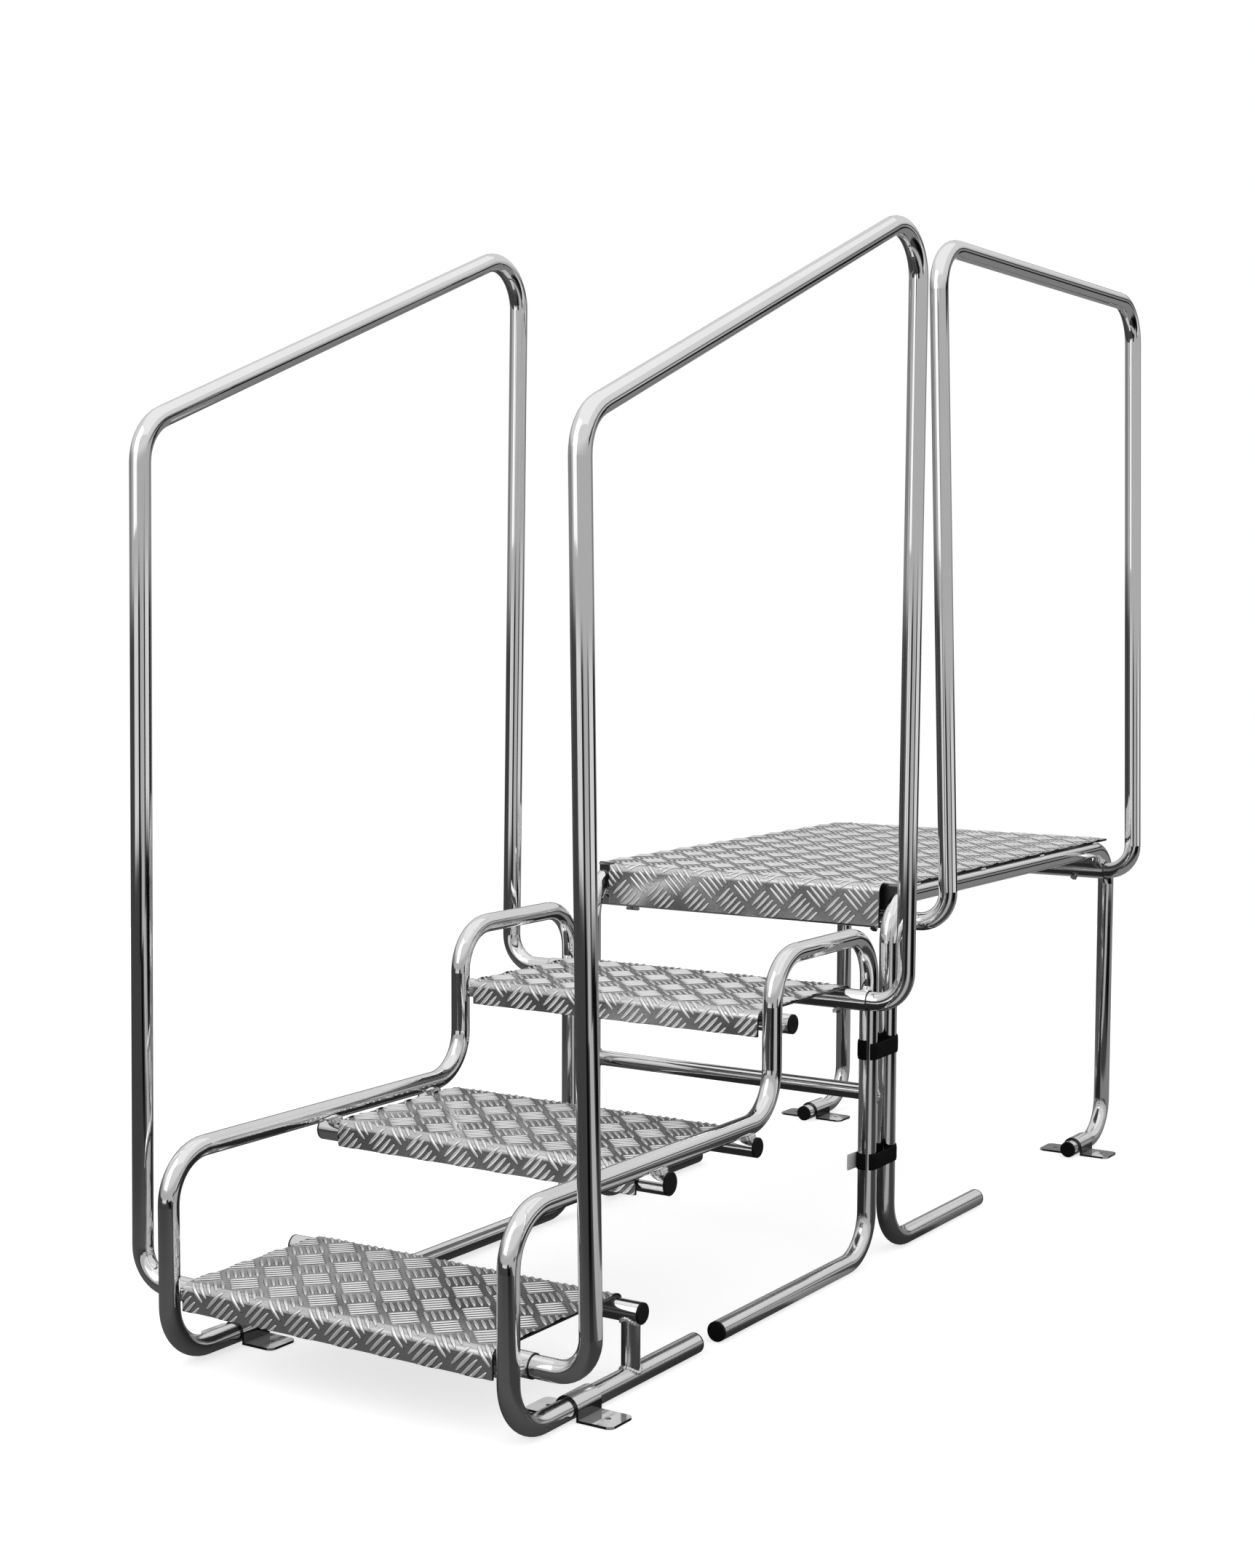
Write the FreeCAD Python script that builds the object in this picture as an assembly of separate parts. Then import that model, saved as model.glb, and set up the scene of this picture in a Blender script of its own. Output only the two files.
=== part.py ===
import FreeCAD, Part
import math
import os

from FreeCAD import Vector

# A free-standing mobility step: a three-tread step unit with a handrail on each side, strapped to a
# platform unit with one handrail. Bent chromed tubes carry folded checker-plate treads and a deck.
# Millimetres, +X to the right of somebody climbing, +Y in the climbing direction, +Z up. The origin is
# on the floor, in the middle between the front tubes of the step and the rear tubes of the platform.

# Tube stock
tube_diameter = 25.0
tube_wall = 1.5
sleeve_diameter = 28.0          # sockets for the handrail ends, and the front tube of tread 2
sleeve_wall = 1.25
brace_diameter = 22.0           # stub posts and the platform's crossbar
brace_wall = 1.5
bend_radius = 60.0              # centreline of every frame bend and of the upper rail bends
rail_foot_bend_radius = 42.0    # centreline where a handrail turns inwards to its socket

# Side frames of the step unit, all lengths between tube axes
frame_width = 480.0
going = 280.0
level_2_height = 250.0
top_run_height = 448.0
top_run_length = 265.0
step_front_run_length = 376.0
step_rear_run_length = 395.0

# Side frames of the platform unit
platform_gap = 57.0             # from the step's rear legs to the platform's front legs
platform_length = 804.0
platform_run_height = 489.0
platform_front_run_length = 298.0
platform_rear_run_length = 143.0
platform_socket_angle = 51.0    # where the sockets nest inside the top bends, above the horizontal
crossbar_height = 220.0

# Treads and deck
plate_thickness = 3.0
tread_side_gap = 8.5            # from a tread's edge to the side frame's tube
tread_lip_depth = 32.0
nosing_radius = 10.0
tread_1_underside = 100.0
tread_1_rear_tube_y = 237.0
tread_2_front_tube_y = 295.0
tread_2_rear_tube_y = 498.0
tread_2_overhang = 19.0         # from its rear tube's axis back to the axis of its rolled edge
tread_3_underside = 376.0
deck_side_reach = 7.0           # of the deck's edge past the side frame's axis
deck_lip_depth = 57.0
deck_front_setback = 12.0       # from the front legs' axis back to the front lip's face
deck_rear_setback = 8.0         # from the rear legs' axis forward to the rear lip's face
deck_notch_depth = 16.0

# Cross tubes and sockets
cross_tube_reach = 1.5          # of a bare tube end past the side frame
sleeve_reach = 1.5
rail_insertion = 60.0
rail_foot_run = 2.0             # straight tube between a socket's mouth and the foot bend

# Handrails. Each loop was bent by hand, so its corners stand a little further out than the nearest
# possible plane: front foot, front top, rear top, rear foot.
right_rail_front_height = 1071.0
left_rail_front_height = 1083.0
step_rail_rear_height = 1386.0
platform_rail_height = 1361.0
right_rail_stance = (28.0, 11.0, 14.0, 8.0)
left_rail_stance = (10.0, -2.0, 14.0, 28.0)
platform_rail_stance = (12.0, -17.0, -17.0, 2.0)

# End plugs
plug_head = 3.0
plug_stem_length = 14.0
plug_clearance = 0.15
plug_edge_chamfer = 0.8

# Screws that hold the handrails in their sockets: hexagon heads, and one thumb screw with a cross bar.
# A lean is in degrees from straight down, backwards if positive.
screw_diameter = 6.0
screw_clearance = 0.2
screw_from_mouth = 49.0
screw_head_across = 10.0        # flats of the hexagon
screw_head_height = 4.0
screw_head_gap = 2.0            # from the socket to the head
thumb_screw_drop = 11.0         # from the socket to the cross bar
thumb_bar_diameter = 5.0
thumb_bar_length = 20.0
step_screw_lean = 0.0
platform_screw_lean = -45.0
thumb_screw_lean = 40.0

# Saddle feet bolted to the floor
saddle_thickness = 3.0
saddle_strip_width = 46.0
saddle_length = 116.0
saddle_hole_spacing = 78.0
saddle_hole_diameter = 7.0
saddle_corner_radius = 8.0
step_saddle_y = 131.0
platform_saddle_inset = 101.0   # forward of the platform's rear legs

# Straps that tie the two units together
strap_height = 30.0
strap_thickness = 1.8
strap_clearance = 0.3
strap_levels = (290.0, 141.0)
strap_tail_length = 12.0        # beyond the band of the lower strap

# Values that follow from the sizes above
tube_radius = tube_diameter / 2
sleeve_radius = sleeve_diameter / 2
brace_radius = brace_diameter / 2
frame_x = frame_width / 2
tread_width = frame_width - tube_diameter - 2 * tread_side_gap
deck_width = frame_width + 2 * deck_side_reach
cross_tube_length = frame_width + tube_diameter + 2 * cross_tube_reach
sleeve_length = frame_width + tube_diameter + 2 * sleeve_reach
step_front_y = 0.0
riser_y = 2 * going
step_rear_y = riser_y + top_run_length
platform_front_y = step_rear_y + platform_gap
platform_rear_y = platform_front_y + platform_length
origin_y = (step_front_y + platform_rear_y) / 2
sleeve_offset = tube_radius + sleeve_radius
tread_1_sleeve_y = step_front_y + sleeve_offset
tread_2_front_y = tread_2_front_tube_y - sleeve_radius - plate_thickness
tread_3_front_tube_y = riser_y + tube_diameter
tread_3_sleeve_y = step_rear_y - sleeve_offset
socket_nest = bend_radius - tube_radius - sleeve_radius
platform_socket_offset = bend_radius - socket_nest * math.cos(math.radians(platform_socket_angle))
platform_sleeve_height = (platform_run_height - bend_radius
                          + socket_nest * math.sin(math.radians(platform_socket_angle)))
platform_front_sleeve_y = platform_front_y + platform_socket_offset
platform_rear_sleeve_y = platform_rear_y - platform_socket_offset
deck_front_y = platform_front_y + deck_front_setback
deck_rear_y = platform_rear_y - deck_rear_setback
tread_2_underside = level_2_height - tube_radius
deck_underside = platform_run_height + tube_radius
rail_plane_x = sleeve_length / 2 + rail_foot_run + rail_foot_bend_radius
platform_saddle_y = platform_rear_y - platform_saddle_inset

X_AXIS = Vector(1, 0, 0)
Y_AXIS = Vector(0, 1, 0)
Z_AXIS = Vector(0, 0, 1)


def cylinder(radius, length, start, direction):
    return Part.makeCylinder(radius, length, start, direction)


def box(low, high):
    size = high - low
    return Part.makeBox(size.x, size.y, size.z, low)


def rounded_path(corners, radii):
    """A wire of straight runs joined by tangent arcs, one radius for each inner corner."""
    edges = []
    start = corners[0]
    for before, corner, after, radius in zip(corners, corners[1:], corners[2:], radii):
        arriving = (corner - before).normalize()
        leaving = (after - corner).normalize()
        half_turn = arriving.getAngle(leaving) / 2
        setback = radius * math.tan(half_turn)
        inward = (leaving - arriving).normalize()
        centre = corner + inward * (radius / math.cos(half_turn))
        arc_start = corner - arriving * setback
        arc_end = corner + leaving * setback
        edges.append(Part.makeLine(start, arc_start))
        edges.append(Part.Arc(arc_start, centre - inward * radius, arc_end).toShape())
        start = arc_end
    edges.append(Part.makeLine(start, corners[-1]))
    return Part.Wire(edges)


def bent_tube(corners, radii, diameter, wall):
    """A tube of real wall along a path of straight runs and arcs."""
    path = rounded_path(corners, radii)
    direction = corners[1] - corners[0]
    solids = []
    for radius in (diameter / 2, diameter / 2 - wall):
        ring = Part.Wire([Part.makeCircle(radius, corners[0], direction)])
        solids.append(path.makePipe(Part.Face(ring)))
    return solids[0].cut(solids[1])


def cross_tube(y, z, diameter, wall, length):
    """A straight tube along X, centred between the side frames."""
    start = Vector(-length / 2, y, z)
    tube = cylinder(diameter / 2, length, start, X_AXIS)
    return tube.cut(cylinder(diameter / 2 - wall, length, start, X_AXIS))


def side_frame(points, side):
    """A one-piece side frame in the plane X = side * frame_x, from its axis points in Y and Z."""
    corners = [Vector(side * frame_x, y, z) for y, z in points]
    return bent_tube(corners, [bend_radius] * (len(corners) - 2), tube_diameter, tube_wall)


def step_side_frame(side):
    return side_frame([
        (step_front_y + step_front_run_length, tube_radius),
        (step_front_y, tube_radius),
        (step_front_y, level_2_height),
        (riser_y, level_2_height),
        (riser_y, top_run_height),
        (step_rear_y, top_run_height),
        (step_rear_y, tube_radius),
        (step_rear_y - step_rear_run_length, tube_radius)], side)


def platform_side_frame(side):
    return side_frame([
        (platform_front_y + platform_front_run_length, tube_radius),
        (platform_front_y, tube_radius),
        (platform_front_y, platform_run_height),
        (platform_rear_y, platform_run_height),
        (platform_rear_y, tube_radius),
        (platform_rear_y - platform_rear_run_length, tube_radius)], side)


def socket_sleeve(y, z, left_lean, right_lean):
    """A cross tube that takes the handrail ends, drilled for the screw that holds each of them."""
    sleeve = cross_tube(y, z, sleeve_diameter, sleeve_wall, sleeve_length)
    for side, lean in ((-1, left_lean), (1, right_lean)):
        x = side * (sleeve_length / 2 - screw_from_mouth)
        hole = cylinder(screw_diameter / 2 + screw_clearance, sleeve_diameter, Vector(x, y, z), Z_AXIS * -1)
        hole.rotate(Vector(x, y, z), X_AXIS, lean)
        sleeve = sleeve.cut(hole)
    return sleeve


def arc_edge(centre, radius, start_angle, end_angle):
    """An arc in a YZ plane, angles in degrees from +Y towards +Z."""
    def on_arc(angle):
        turn = math.radians(angle)
        return centre + Vector(0, radius * math.cos(turn), radius * math.sin(turn))
    return Part.Arc(on_arc(start_angle), on_arc((start_angle + end_angle) / 2), on_arc(end_angle)).toShape()


def tread(front_y, underside, roll_y, roll_inner_radius):
    """A folded plate: front lip, round nosing, flat top and a rear edge rolled about an axis at roll_y."""
    x = -tread_width / 2
    top = underside + plate_thickness
    lip_end = top - tread_lip_depth
    nosing = Vector(x, front_y + nosing_radius, top - nosing_radius)
    roll = Vector(x, roll_y, underside - roll_inner_radius)
    roll_radius = roll_inner_radius + plate_thickness
    inner_nosing = nosing_radius - plate_thickness

    def point(y, z):
        return Vector(x, y, z)

    edges = [
        Part.makeLine(point(front_y, lip_end), point(front_y, nosing.z)),
        arc_edge(nosing, nosing_radius, 180, 90),
        Part.makeLine(point(nosing.y, top), point(roll_y, top)),
        arc_edge(roll, roll_radius, 90, 0),
        Part.makeLine(point(roll_y + roll_radius, roll.z), point(roll_y + roll_inner_radius, roll.z)),
        arc_edge(roll, roll_inner_radius, 0, 90),
        Part.makeLine(point(roll_y, underside), point(nosing.y, underside)),
        arc_edge(nosing, inner_nosing, 90, 180),
        Part.makeLine(point(front_y + plate_thickness, nosing.z), point(front_y + plate_thickness, lip_end)),
        Part.makeLine(point(front_y + plate_thickness, lip_end), point(front_y, lip_end))]
    return Part.Face(Part.Wire(edges)).extrude(Vector(tread_width, 0, 0))


def platform_deck():
    """The deck plate with a deep lip folded down at each end, narrower than the deck."""
    x = -deck_width / 2
    top = deck_underside + plate_thickness
    lip_end = top - deck_lip_depth
    front = deck_front_y
    rear = deck_rear_y
    inner_nosing = nosing_radius - plate_thickness
    front_nosing = Vector(x, front + nosing_radius, top - nosing_radius)
    rear_nosing = Vector(x, rear - nosing_radius, top - nosing_radius)

    def point(y, z):
        return Vector(x, y, z)

    edges = [
        Part.makeLine(point(front, lip_end), point(front, front_nosing.z)),
        arc_edge(front_nosing, nosing_radius, 180, 90),
        Part.makeLine(point(front_nosing.y, top), point(rear_nosing.y, top)),
        arc_edge(rear_nosing, nosing_radius, 90, 0),
        Part.makeLine(point(rear, rear_nosing.z), point(rear, lip_end)),
        Part.makeLine(point(rear, lip_end), point(rear - plate_thickness, lip_end)),
        Part.makeLine(point(rear - plate_thickness, lip_end), point(rear - plate_thickness, rear_nosing.z)),
        arc_edge(rear_nosing, inner_nosing, 0, 90),
        Part.makeLine(point(rear_nosing.y, deck_underside), point(front_nosing.y, deck_underside)),
        arc_edge(front_nosing, inner_nosing, 90, 180),
        Part.makeLine(point(front + plate_thickness, front_nosing.z),
                      point(front + plate_thickness, lip_end)),
        Part.makeLine(point(front + plate_thickness, lip_end), point(front, lip_end))]
    deck = Part.Face(Part.Wire(edges)).extrude(Vector(deck_width, 0, 0))
    for side in (-1, 1):
        inner = side * tread_width / 2
        outer = side * (deck_width / 2 + 1)
        low_x, high_x = min(inner, outer), max(inner, outer)
        for low_y, high_y in ((front - 1, front + deck_notch_depth), (rear - nosing_radius, rear + 1)):
            notch = box(Vector(low_x, low_y, lip_end - 1), Vector(high_x, high_y, top + 1))
            deck = deck.cut(notch)
    return deck


def handrail(side, front, rear, stance):
    """A loop from one socket to another. front and rear hold Y, socket height and top height."""
    foot_front, top_front, top_rear, foot_rear = [side * (rail_plane_x + offset) for offset in stance]
    front_y, front_z, front_top = front
    rear_y, rear_z, rear_top = rear
    end_x = side * (sleeve_length / 2 - rail_insertion)
    corners = [
        Vector(end_x, front_y, front_z),
        Vector(foot_front, front_y, front_z),
        Vector(top_front, front_y, front_top),
        Vector(top_rear, rear_y, rear_top),
        Vector(foot_rear, rear_y, rear_z),
        Vector(end_x, rear_y, rear_z)]
    radii = [rail_foot_bend_radius, bend_radius, bend_radius, rail_foot_bend_radius]
    return bent_tube(corners, radii, tube_diameter, tube_wall)


def stub_post(side):
    """A short post from the floor run up to tread 1's rear tube, coped to both."""
    x = side * frame_x
    y = tread_1_rear_tube_y
    top = tread_1_underside - tube_radius
    low = Vector(x, y, tube_radius)
    post = cylinder(brace_radius, top - tube_radius, low, Z_AXIS)
    post = post.cut(cylinder(brace_radius - brace_wall, top - tube_radius, low, Z_AXIS))
    run = cylinder(tube_radius, brace_diameter * 2, Vector(x, y - brace_diameter, tube_radius), Y_AXIS)
    tube = cylinder(tube_radius, brace_diameter * 2, Vector(x - brace_diameter, y, top), X_AXIS)
    return post.cut(run).cut(tube)


def platform_crossbar():
    """The low bar between the platform's front legs, coped to them."""
    start = Vector(-frame_x, platform_front_y, crossbar_height)
    bar = cylinder(brace_radius, frame_width, start, X_AXIS)
    bar = bar.cut(cylinder(brace_radius - brace_wall, frame_width, start, X_AXIS))
    for side in (-1, 1):
        foot = Vector(side * frame_x, platform_front_y, crossbar_height - brace_diameter)
        bar = bar.cut(cylinder(tube_radius, brace_diameter * 2, foot, Z_AXIS))
    return bar


def end_plug(end, outward, diameter, wall):
    """A push-in plug with a low head, seated on the tube's end at the point end."""
    head = cylinder(diameter / 2, plug_head, end, outward)
    rim = [edge for edge in head.Edges if edge.Curve.TypeId == "Part::GeomCircle"
           and edge.CenterOfMass.distanceToPoint(end) > plug_head / 2]
    head = head.makeChamfer(plug_edge_chamfer, rim)
    stem_radius = diameter / 2 - wall - plug_clearance
    stem = cylinder(stem_radius, plug_stem_length, end - outward * plug_stem_length, outward)
    return head.fuse(stem).removeSplitter()


def plugs_for_cross_tubes():
    rows = [
        (tread_1_rear_tube_y, tread_1_underside - tube_radius, tube_diameter, tube_wall),
        (tread_2_front_tube_y, tread_2_underside - sleeve_radius, sleeve_diameter, sleeve_wall),
        (tread_2_rear_tube_y, tread_2_underside - tube_radius, tube_diameter, tube_wall),
        (tread_3_front_tube_y, tread_3_underside - tube_radius, tube_diameter, tube_wall)]
    plugs = []
    for y, z, diameter, wall in rows:
        for side in (-1, 1):
            end = Vector(side * cross_tube_length / 2, y, z)
            plugs.append(end_plug(end, X_AXIS * side, diameter, wall))
    return plugs


def plugs_for_floor_runs(front_run_end, rear_run_end):
    """Plugs for the two floor runs of each side frame: one end faces back, the other forward."""
    plugs = []
    for side in (-1, 1):
        for y, outward in ((front_run_end, Y_AXIS), (rear_run_end, Y_AXIS * -1)):
            end = Vector(side * frame_x, y, tube_radius)
            plugs.append(end_plug(end, outward, tube_diameter, tube_wall))
    return plugs


def plugs_for_empty_sockets():
    plugs = []
    for y in (platform_front_sleeve_y, platform_rear_sleeve_y):
        end = Vector(-sleeve_length / 2, y, platform_sleeve_height)
        plugs.append(end_plug(end, X_AXIS * -1, sleeve_diameter, sleeve_wall))
    return plugs


def screw_shank(x, y, z, drop):
    """A shank from the rail's wall inside a socket at height z down to drop below the socket."""
    return cylinder(screw_diameter / 2, sleeve_radius + drop - tube_radius, Vector(x, y, z - tube_radius),
                    Z_AXIS * -1)


def hexagon_screw(side, y, z, lean):
    """A screw through a socket's wall against the rail, with a hexagon head."""
    x = side * (sleeve_length / 2 - screw_from_mouth)
    head_top = z - sleeve_radius - screw_head_gap
    corner = screw_head_across / 2 / math.cos(math.pi / 6)
    points = []
    for turn in range(7):
        angle = math.pi * turn / 3
        points.append(Vector(x + corner * math.cos(angle), y + corner * math.sin(angle), head_top))
    head = Part.Face(Part.makePolygon(points)).extrude(Vector(0, 0, -screw_head_height))
    screw = head.fuse(screw_shank(x, y, z, screw_head_gap + screw_head_height)).removeSplitter()
    screw.rotate(Vector(x, y, z), X_AXIS, lean)
    return screw


def thumb_screw(side, y, z, lean):
    """A longer screw of the same thread, with a cross bar to turn it by."""
    x = side * (sleeve_length / 2 - screw_from_mouth)
    bar_start = Vector(x - thumb_bar_length / 2, y, z - sleeve_radius - thumb_screw_drop)
    bar = cylinder(thumb_bar_diameter / 2, thumb_bar_length, bar_start, X_AXIS)
    screw = bar.fuse(screw_shank(x, y, z, thumb_screw_drop)).removeSplitter()
    screw.rotate(Vector(x, y, z), X_AXIS, lean)
    return screw


def saddle_foot(side, y):
    """An omega strip bent over the floor run, with a drilled flange on each side."""
    x = side * frame_x
    strip_start = y - saddle_strip_width / 2
    outer_radius = tube_radius + saddle_thickness
    low = Vector(x - saddle_length / 2, strip_start, 0)
    foot = box(low, low + Vector(saddle_length, saddle_strip_width, saddle_thickness))
    corners = [edge for edge in foot.Edges if abs(edge.tangentAt(edge.FirstParameter).z) > 0.9]
    foot = foot.makeFillet(saddle_corner_radius, corners)
    arch_low = Vector(x - outer_radius, strip_start, 0)
    arch = box(arch_low, arch_low + Vector(2 * outer_radius, saddle_strip_width, tube_radius))
    crown = Vector(x, strip_start, tube_radius)
    arch = arch.fuse(cylinder(outer_radius, saddle_strip_width, crown, Y_AXIS))
    foot = foot.fuse(arch).removeSplitter()
    channel_low = Vector(x - tube_radius, strip_start, -outer_radius)
    channel_high = Vector(x + tube_radius, strip_start + saddle_strip_width, tube_radius)
    foot = foot.cut(box(channel_low, channel_high))
    foot = foot.cut(cylinder(tube_radius, saddle_strip_width, crown, Y_AXIS))
    for end in (-1, 1):
        hole = Vector(x + end * saddle_hole_spacing / 2, y, 0)
        foot = foot.cut(cylinder(saddle_hole_diameter / 2, saddle_thickness, hole, Z_AXIS))
    return foot


def strap(level, with_tail):
    """A flat band round the step's right rear leg and the platform's right front leg."""
    inner = tube_radius + strap_clearance
    outer = inner + strap_thickness

    def band(radius):
        low_z = level - strap_height / 2
        ends = [cylinder(radius, strap_height, Vector(frame_x, y, low_z), Z_AXIS)
                for y in (step_rear_y, platform_front_y)]
        middle = box(Vector(frame_x - radius, step_rear_y, low_z),
                     Vector(frame_x + radius, platform_front_y, low_z + strap_height))
        return ends[0].fuse(ends[1]).fuse(middle).removeSplitter()

    loop = band(outer).cut(band(inner))
    if with_tail:
        low = Vector(frame_x - outer, step_rear_y - outer - strap_tail_length, level - strap_height / 2)
        high = Vector(frame_x - inner, step_rear_y, level + strap_height / 2)
        loop = loop.fuse(box(low, high)).removeSplitter()
    return loop


def place(shape):
    """Move a shape from the step's front to the part's origin."""
    moved = shape.copy()
    moved.translate(Vector(0, -origin_y, 0))
    return moved


def write(name, shapes):
    placed = [place(shape) for shape in shapes]
    whole = placed[0] if len(placed) == 1 else Part.makeCompound(placed)
    solids = whole.Solids
    assert len(solids) == len(shapes), name
    assert all(solid.isValid() for solid in solids), name
    result = solids[0] if len(solids) == 1 else whole
    result.exportStep(os.path.join("parts", name + ".step"))
    print(name, len(solids), round(sum(solid.Volume for solid in solids) / 1000.0, 1), "cm3")


def main():
    os.makedirs("parts", exist_ok=True)
    both_sides = ((-1, "left"), (1, "right"))

    for side, word in both_sides:
        write("step_side_frame_" + word, [step_side_frame(side)])
        write("platform_side_frame_" + word, [platform_side_frame(side)])
        write("stub_post_" + word, [stub_post(side)])
        write("step_saddle_foot_" + word, [saddle_foot(side, step_saddle_y)])
        write("platform_saddle_foot_" + word, [saddle_foot(side, platform_saddle_y)])

    write("tread_1", [tread(step_front_y, tread_1_underside, tread_1_rear_tube_y, tube_radius)])
    write("tread_2", [tread(tread_2_front_y, tread_2_underside, tread_2_rear_tube_y + tread_2_overhang,
                            tube_radius)])
    write("tread_3", [tread(riser_y, tread_3_underside, tread_3_sleeve_y, sleeve_radius)])
    write("platform_deck", [platform_deck()])

    tread_1_sleeve_z = tread_1_underside - sleeve_radius
    tread_3_sleeve_z = tread_3_underside - sleeve_radius
    write("tread_1_front_sleeve", [socket_sleeve(tread_1_sleeve_y, tread_1_sleeve_z,
                                                  step_screw_lean, step_screw_lean)])
    write("tread_3_rear_sleeve", [socket_sleeve(tread_3_sleeve_y, tread_3_sleeve_z,
                                                 step_screw_lean, step_screw_lean)])
    write("platform_front_sleeve", [socket_sleeve(platform_front_sleeve_y, platform_sleeve_height,
                                                   thumb_screw_lean, platform_screw_lean)])
    write("platform_rear_sleeve", [socket_sleeve(platform_rear_sleeve_y, platform_sleeve_height,
                                                  platform_screw_lean, platform_screw_lean)])
    write("tread_1_rear_tube", [cross_tube(tread_1_rear_tube_y, tread_1_underside - tube_radius,
                                           tube_diameter, tube_wall, cross_tube_length)])
    write("tread_2_front_tube", [cross_tube(tread_2_front_tube_y, tread_2_underside - sleeve_radius,
                                            sleeve_diameter, sleeve_wall, cross_tube_length)])
    write("tread_2_rear_tube", [cross_tube(tread_2_rear_tube_y, tread_2_underside - tube_radius,
                                           tube_diameter, tube_wall, cross_tube_length)])
    write("tread_3_front_tube", [cross_tube(tread_3_front_tube_y, tread_3_underside - tube_radius,
                                            tube_diameter, tube_wall, cross_tube_length)])
    write("platform_crossbar", [platform_crossbar()])

    step_rail_rear = (tread_3_sleeve_y, tread_3_sleeve_z, step_rail_rear_height)
    for side, word, front_height, stance in (
            (-1, "left", left_rail_front_height, left_rail_stance),
            (1, "right", right_rail_front_height, right_rail_stance)):
        step_rail_front = (tread_1_sleeve_y, tread_1_sleeve_z, front_height)
        write("step_handrail_" + word, [handrail(side, step_rail_front, step_rail_rear, stance)])
    write("platform_handrail", [handrail(
        1,
        (platform_front_sleeve_y, platform_sleeve_height, platform_rail_height),
        (platform_rear_sleeve_y, platform_sleeve_height, platform_rail_height),
        platform_rail_stance)])

    write("cross_tube_plugs", plugs_for_cross_tubes())
    write("step_frame_plugs", plugs_for_floor_runs(step_front_y + step_front_run_length,
                                                   step_rear_y - step_rear_run_length))
    write("platform_frame_plugs", plugs_for_floor_runs(platform_front_y + platform_front_run_length,
                                                       platform_rear_y - platform_rear_run_length))
    write("platform_sleeve_plugs", plugs_for_empty_sockets())
    write("step_socket_screws", [
        hexagon_screw(side, y, z, step_screw_lean) for side in (-1, 1)
        for y, z in ((tread_1_sleeve_y, tread_1_sleeve_z), (tread_3_sleeve_y, tread_3_sleeve_z))])
    write("platform_socket_screws", [
        hexagon_screw(1, platform_front_sleeve_y, platform_sleeve_height, platform_screw_lean),
        hexagon_screw(1, platform_rear_sleeve_y, platform_sleeve_height, platform_screw_lean),
        hexagon_screw(-1, platform_rear_sleeve_y, platform_sleeve_height, platform_screw_lean),
        thumb_screw(-1, platform_front_sleeve_y, platform_sleeve_height, thumb_screw_lean)])

    upper_level, lower_level = strap_levels
    write("strap_upper", [strap(upper_level, False)])
    write("strap_lower", [strap(lower_level, True)])


main()
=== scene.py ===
# %% [markdown]
# A mobility step with a platform, dressed in Blender.
# The object is two units of bent chromed tube: a step unit with three treads and a handrail on each side,
# and a platform unit with a deck and one handrail. Both carry folded checker plate.
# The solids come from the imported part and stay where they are. This file gives them their finishes, and adds
# what is too small or too soft for solids: the raised bars of the plate, weld beads and the webbing straps.

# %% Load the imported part
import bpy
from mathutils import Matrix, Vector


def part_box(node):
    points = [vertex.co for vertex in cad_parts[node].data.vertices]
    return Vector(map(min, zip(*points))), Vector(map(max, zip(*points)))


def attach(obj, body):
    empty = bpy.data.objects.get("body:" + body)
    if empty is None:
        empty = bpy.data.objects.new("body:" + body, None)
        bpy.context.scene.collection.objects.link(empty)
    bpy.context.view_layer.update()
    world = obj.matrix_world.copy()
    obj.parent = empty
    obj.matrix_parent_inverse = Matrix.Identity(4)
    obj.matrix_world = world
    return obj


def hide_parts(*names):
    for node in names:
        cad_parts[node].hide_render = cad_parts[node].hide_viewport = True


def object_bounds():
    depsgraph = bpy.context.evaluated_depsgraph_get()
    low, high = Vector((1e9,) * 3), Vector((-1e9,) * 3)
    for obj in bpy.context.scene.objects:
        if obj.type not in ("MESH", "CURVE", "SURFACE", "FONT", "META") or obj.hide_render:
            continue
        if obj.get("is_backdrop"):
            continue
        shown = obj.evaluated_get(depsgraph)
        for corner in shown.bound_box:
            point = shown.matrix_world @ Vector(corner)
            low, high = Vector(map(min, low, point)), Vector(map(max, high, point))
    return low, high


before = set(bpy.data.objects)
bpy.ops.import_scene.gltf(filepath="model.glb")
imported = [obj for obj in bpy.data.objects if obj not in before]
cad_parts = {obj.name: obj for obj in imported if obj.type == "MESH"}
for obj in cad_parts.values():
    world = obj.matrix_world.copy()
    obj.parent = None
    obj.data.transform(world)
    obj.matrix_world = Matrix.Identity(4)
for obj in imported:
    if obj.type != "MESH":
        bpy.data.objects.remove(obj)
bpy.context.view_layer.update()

# %% Blender's own tools
import math

import bpy
from mathutils import Matrix, Vector

MM = 0.001

# %% [markdown]
# The camera stands to the right of the steps, a little below the handrails' tops, and looks slightly down.
# Its place and lens were solved from the tube joints' places in the picture, so no guesswork is left in it:
# a wrong lens would make every tube lean or converge differently. The frame is portrait, and Blender's sensor
# size of 36 mm is then measured along the frame's height.

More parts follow.
